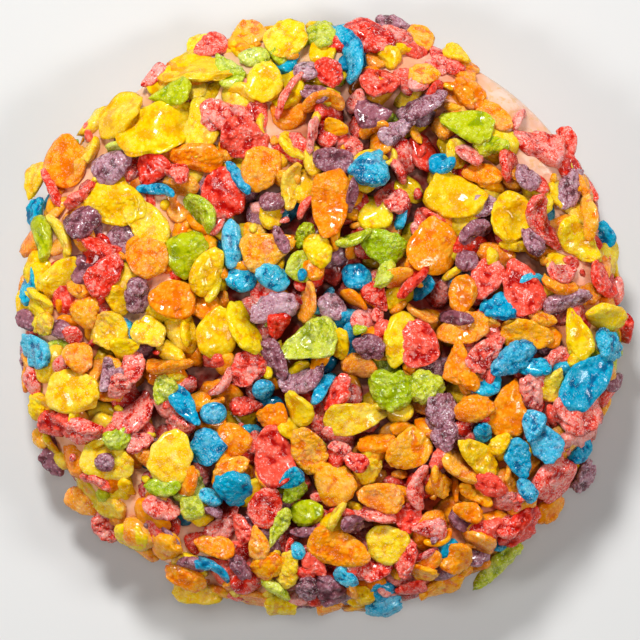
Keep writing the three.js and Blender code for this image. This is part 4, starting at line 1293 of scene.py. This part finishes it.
class BuildIcing(bpy.types.Operator):
    """Coat of icing: a lathe body under the bed of flakes, with a lip that wanders, stains
    that spread from the nearest flakes, and painted shade that darkens them under the middle of the heap"""

    bl_idname = "cereal_cookie.icing"
    bl_label = "Icing Coat"

    def execute(self, context):
        settings = context.scene.cookie_settings
        section = icing_section(ICING_ROWS)
        rows, quads, triangles = lathe(section, ICING_STEPS)
        points = with_poles(rows, section)
        x, y, z = points.T
        angle = np.arctan2(y, x)
        lip = 1 - smooth_step(z, LIP_HEIGHT + 1 * MM, WAIST_HEIGHT)
        wander = LIP_DRIP * (np.sin(3 * angle + 0.4) + np.sin(8 * angle + 1.7)) / 2
        over = smooth_step(z, WAIST_HEIGHT + 1 * MM, WAIST_HEIGHT + 4 * MM)
        lowered = icing_height(x, y) - bed_height(x, y)
        heap, lap, _ = whole_heap(context.scene.heap_settings.seed)
        radius = np.hypot(x, y)
        lapping = np.maximum(smooth_step(radius, MIDDLE_REACH, 40 * MM), flushness(x, y))
        lowered += map_value(lap, x, y) * lapping
        outer = radius > 0.93 * COOKIE_RADIUS
        points[:, 2] = z + lip * wander * outer + over * lowered
        tint = stain_colours(heap, x, y) ** STAIN_POWER
        # Painted shade: towards the middle of the heap the stains darken and take over the icing's
        # colour.
        depth = (1 - smooth_step(radius, 32 * MM, 42 * MM)) * (1 - flushness(x, y))
        tint = tint * (1 - depth[:, None] * HEAP_SHADE_LOSS)
        stained = FULL_STAIN * inside_of(STAINED_PATCHES, x, y)
        stain_and_shade = USUAL_STAIN + BARE_STAIN * bareness(x, y) + stained
        stain_and_shade = stain_and_shade * (1 - depth) + depth
        values = {
            "stain_and_shade_r": tint[:, 0], "stain_and_shade_g": tint[:, 1], "stain_and_shade_b": tint[:, 2], "stain_and_shade": stain_and_shade}
        icing = mesh_object("icing_coat", points, quads, triangles, values)
        paint(icing, icing_material(tuple(settings.icing)), "topping")
        return {"FINISHED"}


class BuildFlakes(bpy.types.Operator):
    """Heap of puffed rice flakes: one mesh for each flavour, whose skins are bent, blistered
    slabs, with more points on the leading flakes"""

    bl_idname = "cereal_cookie.flakes"
    bl_label = "Flakes"

    def execute(self, context):
        settings = context.scene.heap_settings
        heap, _, top = whole_heap(settings.seed)
        crumb = heap["kind"] == KIND_NAMES.index("crumb")
        rng = np.random.default_rng(settings.seed + 5)
        tone, sugar = rng.random(len(heap)) ** 1.5, rng.random(len(heap)) - 0.4
        other = ~heap["fine"] & ~crumb
        levels = [(heap["fine"], LEADING_GRID), (other, SMALL_GRID), (crumb, CRUMB_GRID)]
        for index, (name, flavour) in enumerate(FLAVOURS.items()):
            batches = []
            for level, (chosen, (rings, sides, bubble_count)) in enumerate(levels):
                picked = chosen & (heap["flavour"] == index)
                seed = settings.seed + 100 * index + 10 * level
                skins, crest = flake_skins(heap[picked], rings, sides, bubble_count, seed)
                each = np.ones(skins.shape[1])
                values = {
                    "crest": crest,
                    "painted_heap_shade": painted_heap_shade(skins, top),
                    "rough": heap["rough"][picked][:, None] * each,
                    "tone": tone[picked][:, None] * each,
                    "sugar": sugar[picked][:, None] * each,
                }
                batches.append((skins, ball_grid(rings, sides), values))
            piece = mesh_object("flakes_" + name, *joined_skins(batches))
            paint(piece, flake_material(name, flavour, settings.frost), "topping")
        return {"FINISHED"}


class BuildStudio(bpy.types.Operator):
    """Pale floor, soft lights and a camera straight above"""

    bl_idname = "cereal_cookie.studio"
    bl_label = "Studio"

    def execute(self, context):
        settings = context.scene.studio_settings
        scene = context.scene
        add_floor(tuple(settings.floor))
        middle = Vector((0, 0, WAIST_HEIGHT))
        lights = [
            ("key", (-0.12, 0.5, 0.55), 0.14, settings.key_power),
            ("left", (-0.5, -0.1, 0.45), 0.14, settings.fill_power),
            ("right", (0.5, 0.0, 0.45), 0.14, settings.fill_power),
            ("overhead", (0.0, 0.05, 1.1), 0.2, settings.overhead_power),
        ]
        for name, place, size, power in lights:
            add_light(name, place, size, power, middle)
        world = bpy.data.worlds.new("studio")
        world.use_nodes = True
        background = world.node_tree.nodes["Background"]
        background.inputs["Strength"].default_value = settings.sky
        background.inputs["Color"].default_value = (1, 1, 1, 1)
        scene.world = world
        scene.view_settings.view_transform = "Standard"
        camera = bpy.data.cameras.new("camera")
        camera.sensor_width = 36
        camera.lens = camera.sensor_width * settings.distance / settings.image_width
        camera.clip_start, camera.clip_end = 0.05, 10
        viewer = bpy.data.objects.new("camera", camera)
        viewer.location = (*VIEW_MIDDLE, WAIST_HEIGHT + settings.distance)
        scene.collection.objects.link(viewer)
        scene.camera = viewer
        return {"FINISHED"}


def add_floor(colour):
    """A wide pale floor under the cookie, a plane of one face."""
    reach = 1.5
    corners = np.array([[-1, -1, 0], [1, -1, 0], [1, 1, 0], [-1, 1, 0]]) * reach
    floor = mesh_object("floor", corners, np.array([[0, 1, 2, 3]]), np.zeros((0, 3), int), {})
    g = Graph("floor")
    tone = g.mix(g.ramp(g.noise(0.05, 3.0), 0.3, 0.7, 0.0, 0.06), colour, (0.6, 0.6, 0.6))
    floor.data.materials.append(g.finish(Base_Color=tone, Roughness=0.7))


def add_light(name, place, size, power, target):
    """A square soft light that faces a target."""
    light = bpy.data.lights.new(name, "AREA")
    light.size, light.energy = size, power
    lamp = bpy.data.objects.new(name, light)
    lamp.location = place
    lamp.rotation_euler = (target - Vector(place)).to_track_quat("-Z", "Y").to_euler()
    bpy.context.scene.collection.objects.link(lamp)


class CookiePanel(bpy.types.Panel):
    """Lists the pieces and their settings"""

    bl_idname = "VIEW3D_PT_cereal_cookie"
    bl_label = "Cereal Cookie"
    bl_space_type = "VIEW_3D"
    bl_region_type = "UI"
    bl_category = "Cereal Cookie"

    def draw(self, context):
        groups = [
            ("cookie_settings", (BuildCookie, BuildIcing)),
            ("heap_settings", (BuildFlakes,)),
            ("studio_settings", (BuildStudio,)),
        ]
        for key, operators in groups:
            box = self.layout.box()
            settings = getattr(context.scene, key)
            for field in settings.__annotations__:
                box.prop(settings, field)
            for operator in operators:
                box.operator(operator.bl_idname)


SETTINGS = {
    "heap_settings": HeapSettings,
    "cookie_settings": CookieSettings,
    "studio_settings": StudioSettings,
}
OPERATORS = [BuildCookie, BuildIcing, BuildFlakes, BuildStudio]


def register():
    """Registers the classes and puts the settings on the scene."""
    for cls in [*SETTINGS.values(), *OPERATORS, CookiePanel]:
        bpy.utils.register_class(cls)
    for key, cls in SETTINGS.items():
        setattr(bpy.types.Scene, key, PointerProperty(type=cls))


def unregister():
    """Takes back what register() did."""
    for key in SETTINGS:
        delattr(bpy.types.Scene, key)
    for cls in [CookiePanel, *reversed(OPERATORS), *SETTINGS.values()]:
        bpy.utils.unregister_class(cls)


def main():
    """Builds every piece in order."""
    register()
    bpy.ops.cereal_cookie.cookie()
    bpy.ops.cereal_cookie.icing()
    bpy.ops.cereal_cookie.flakes()
    bpy.ops.cereal_cookie.studio()


if __name__ == "__main__":
    main()
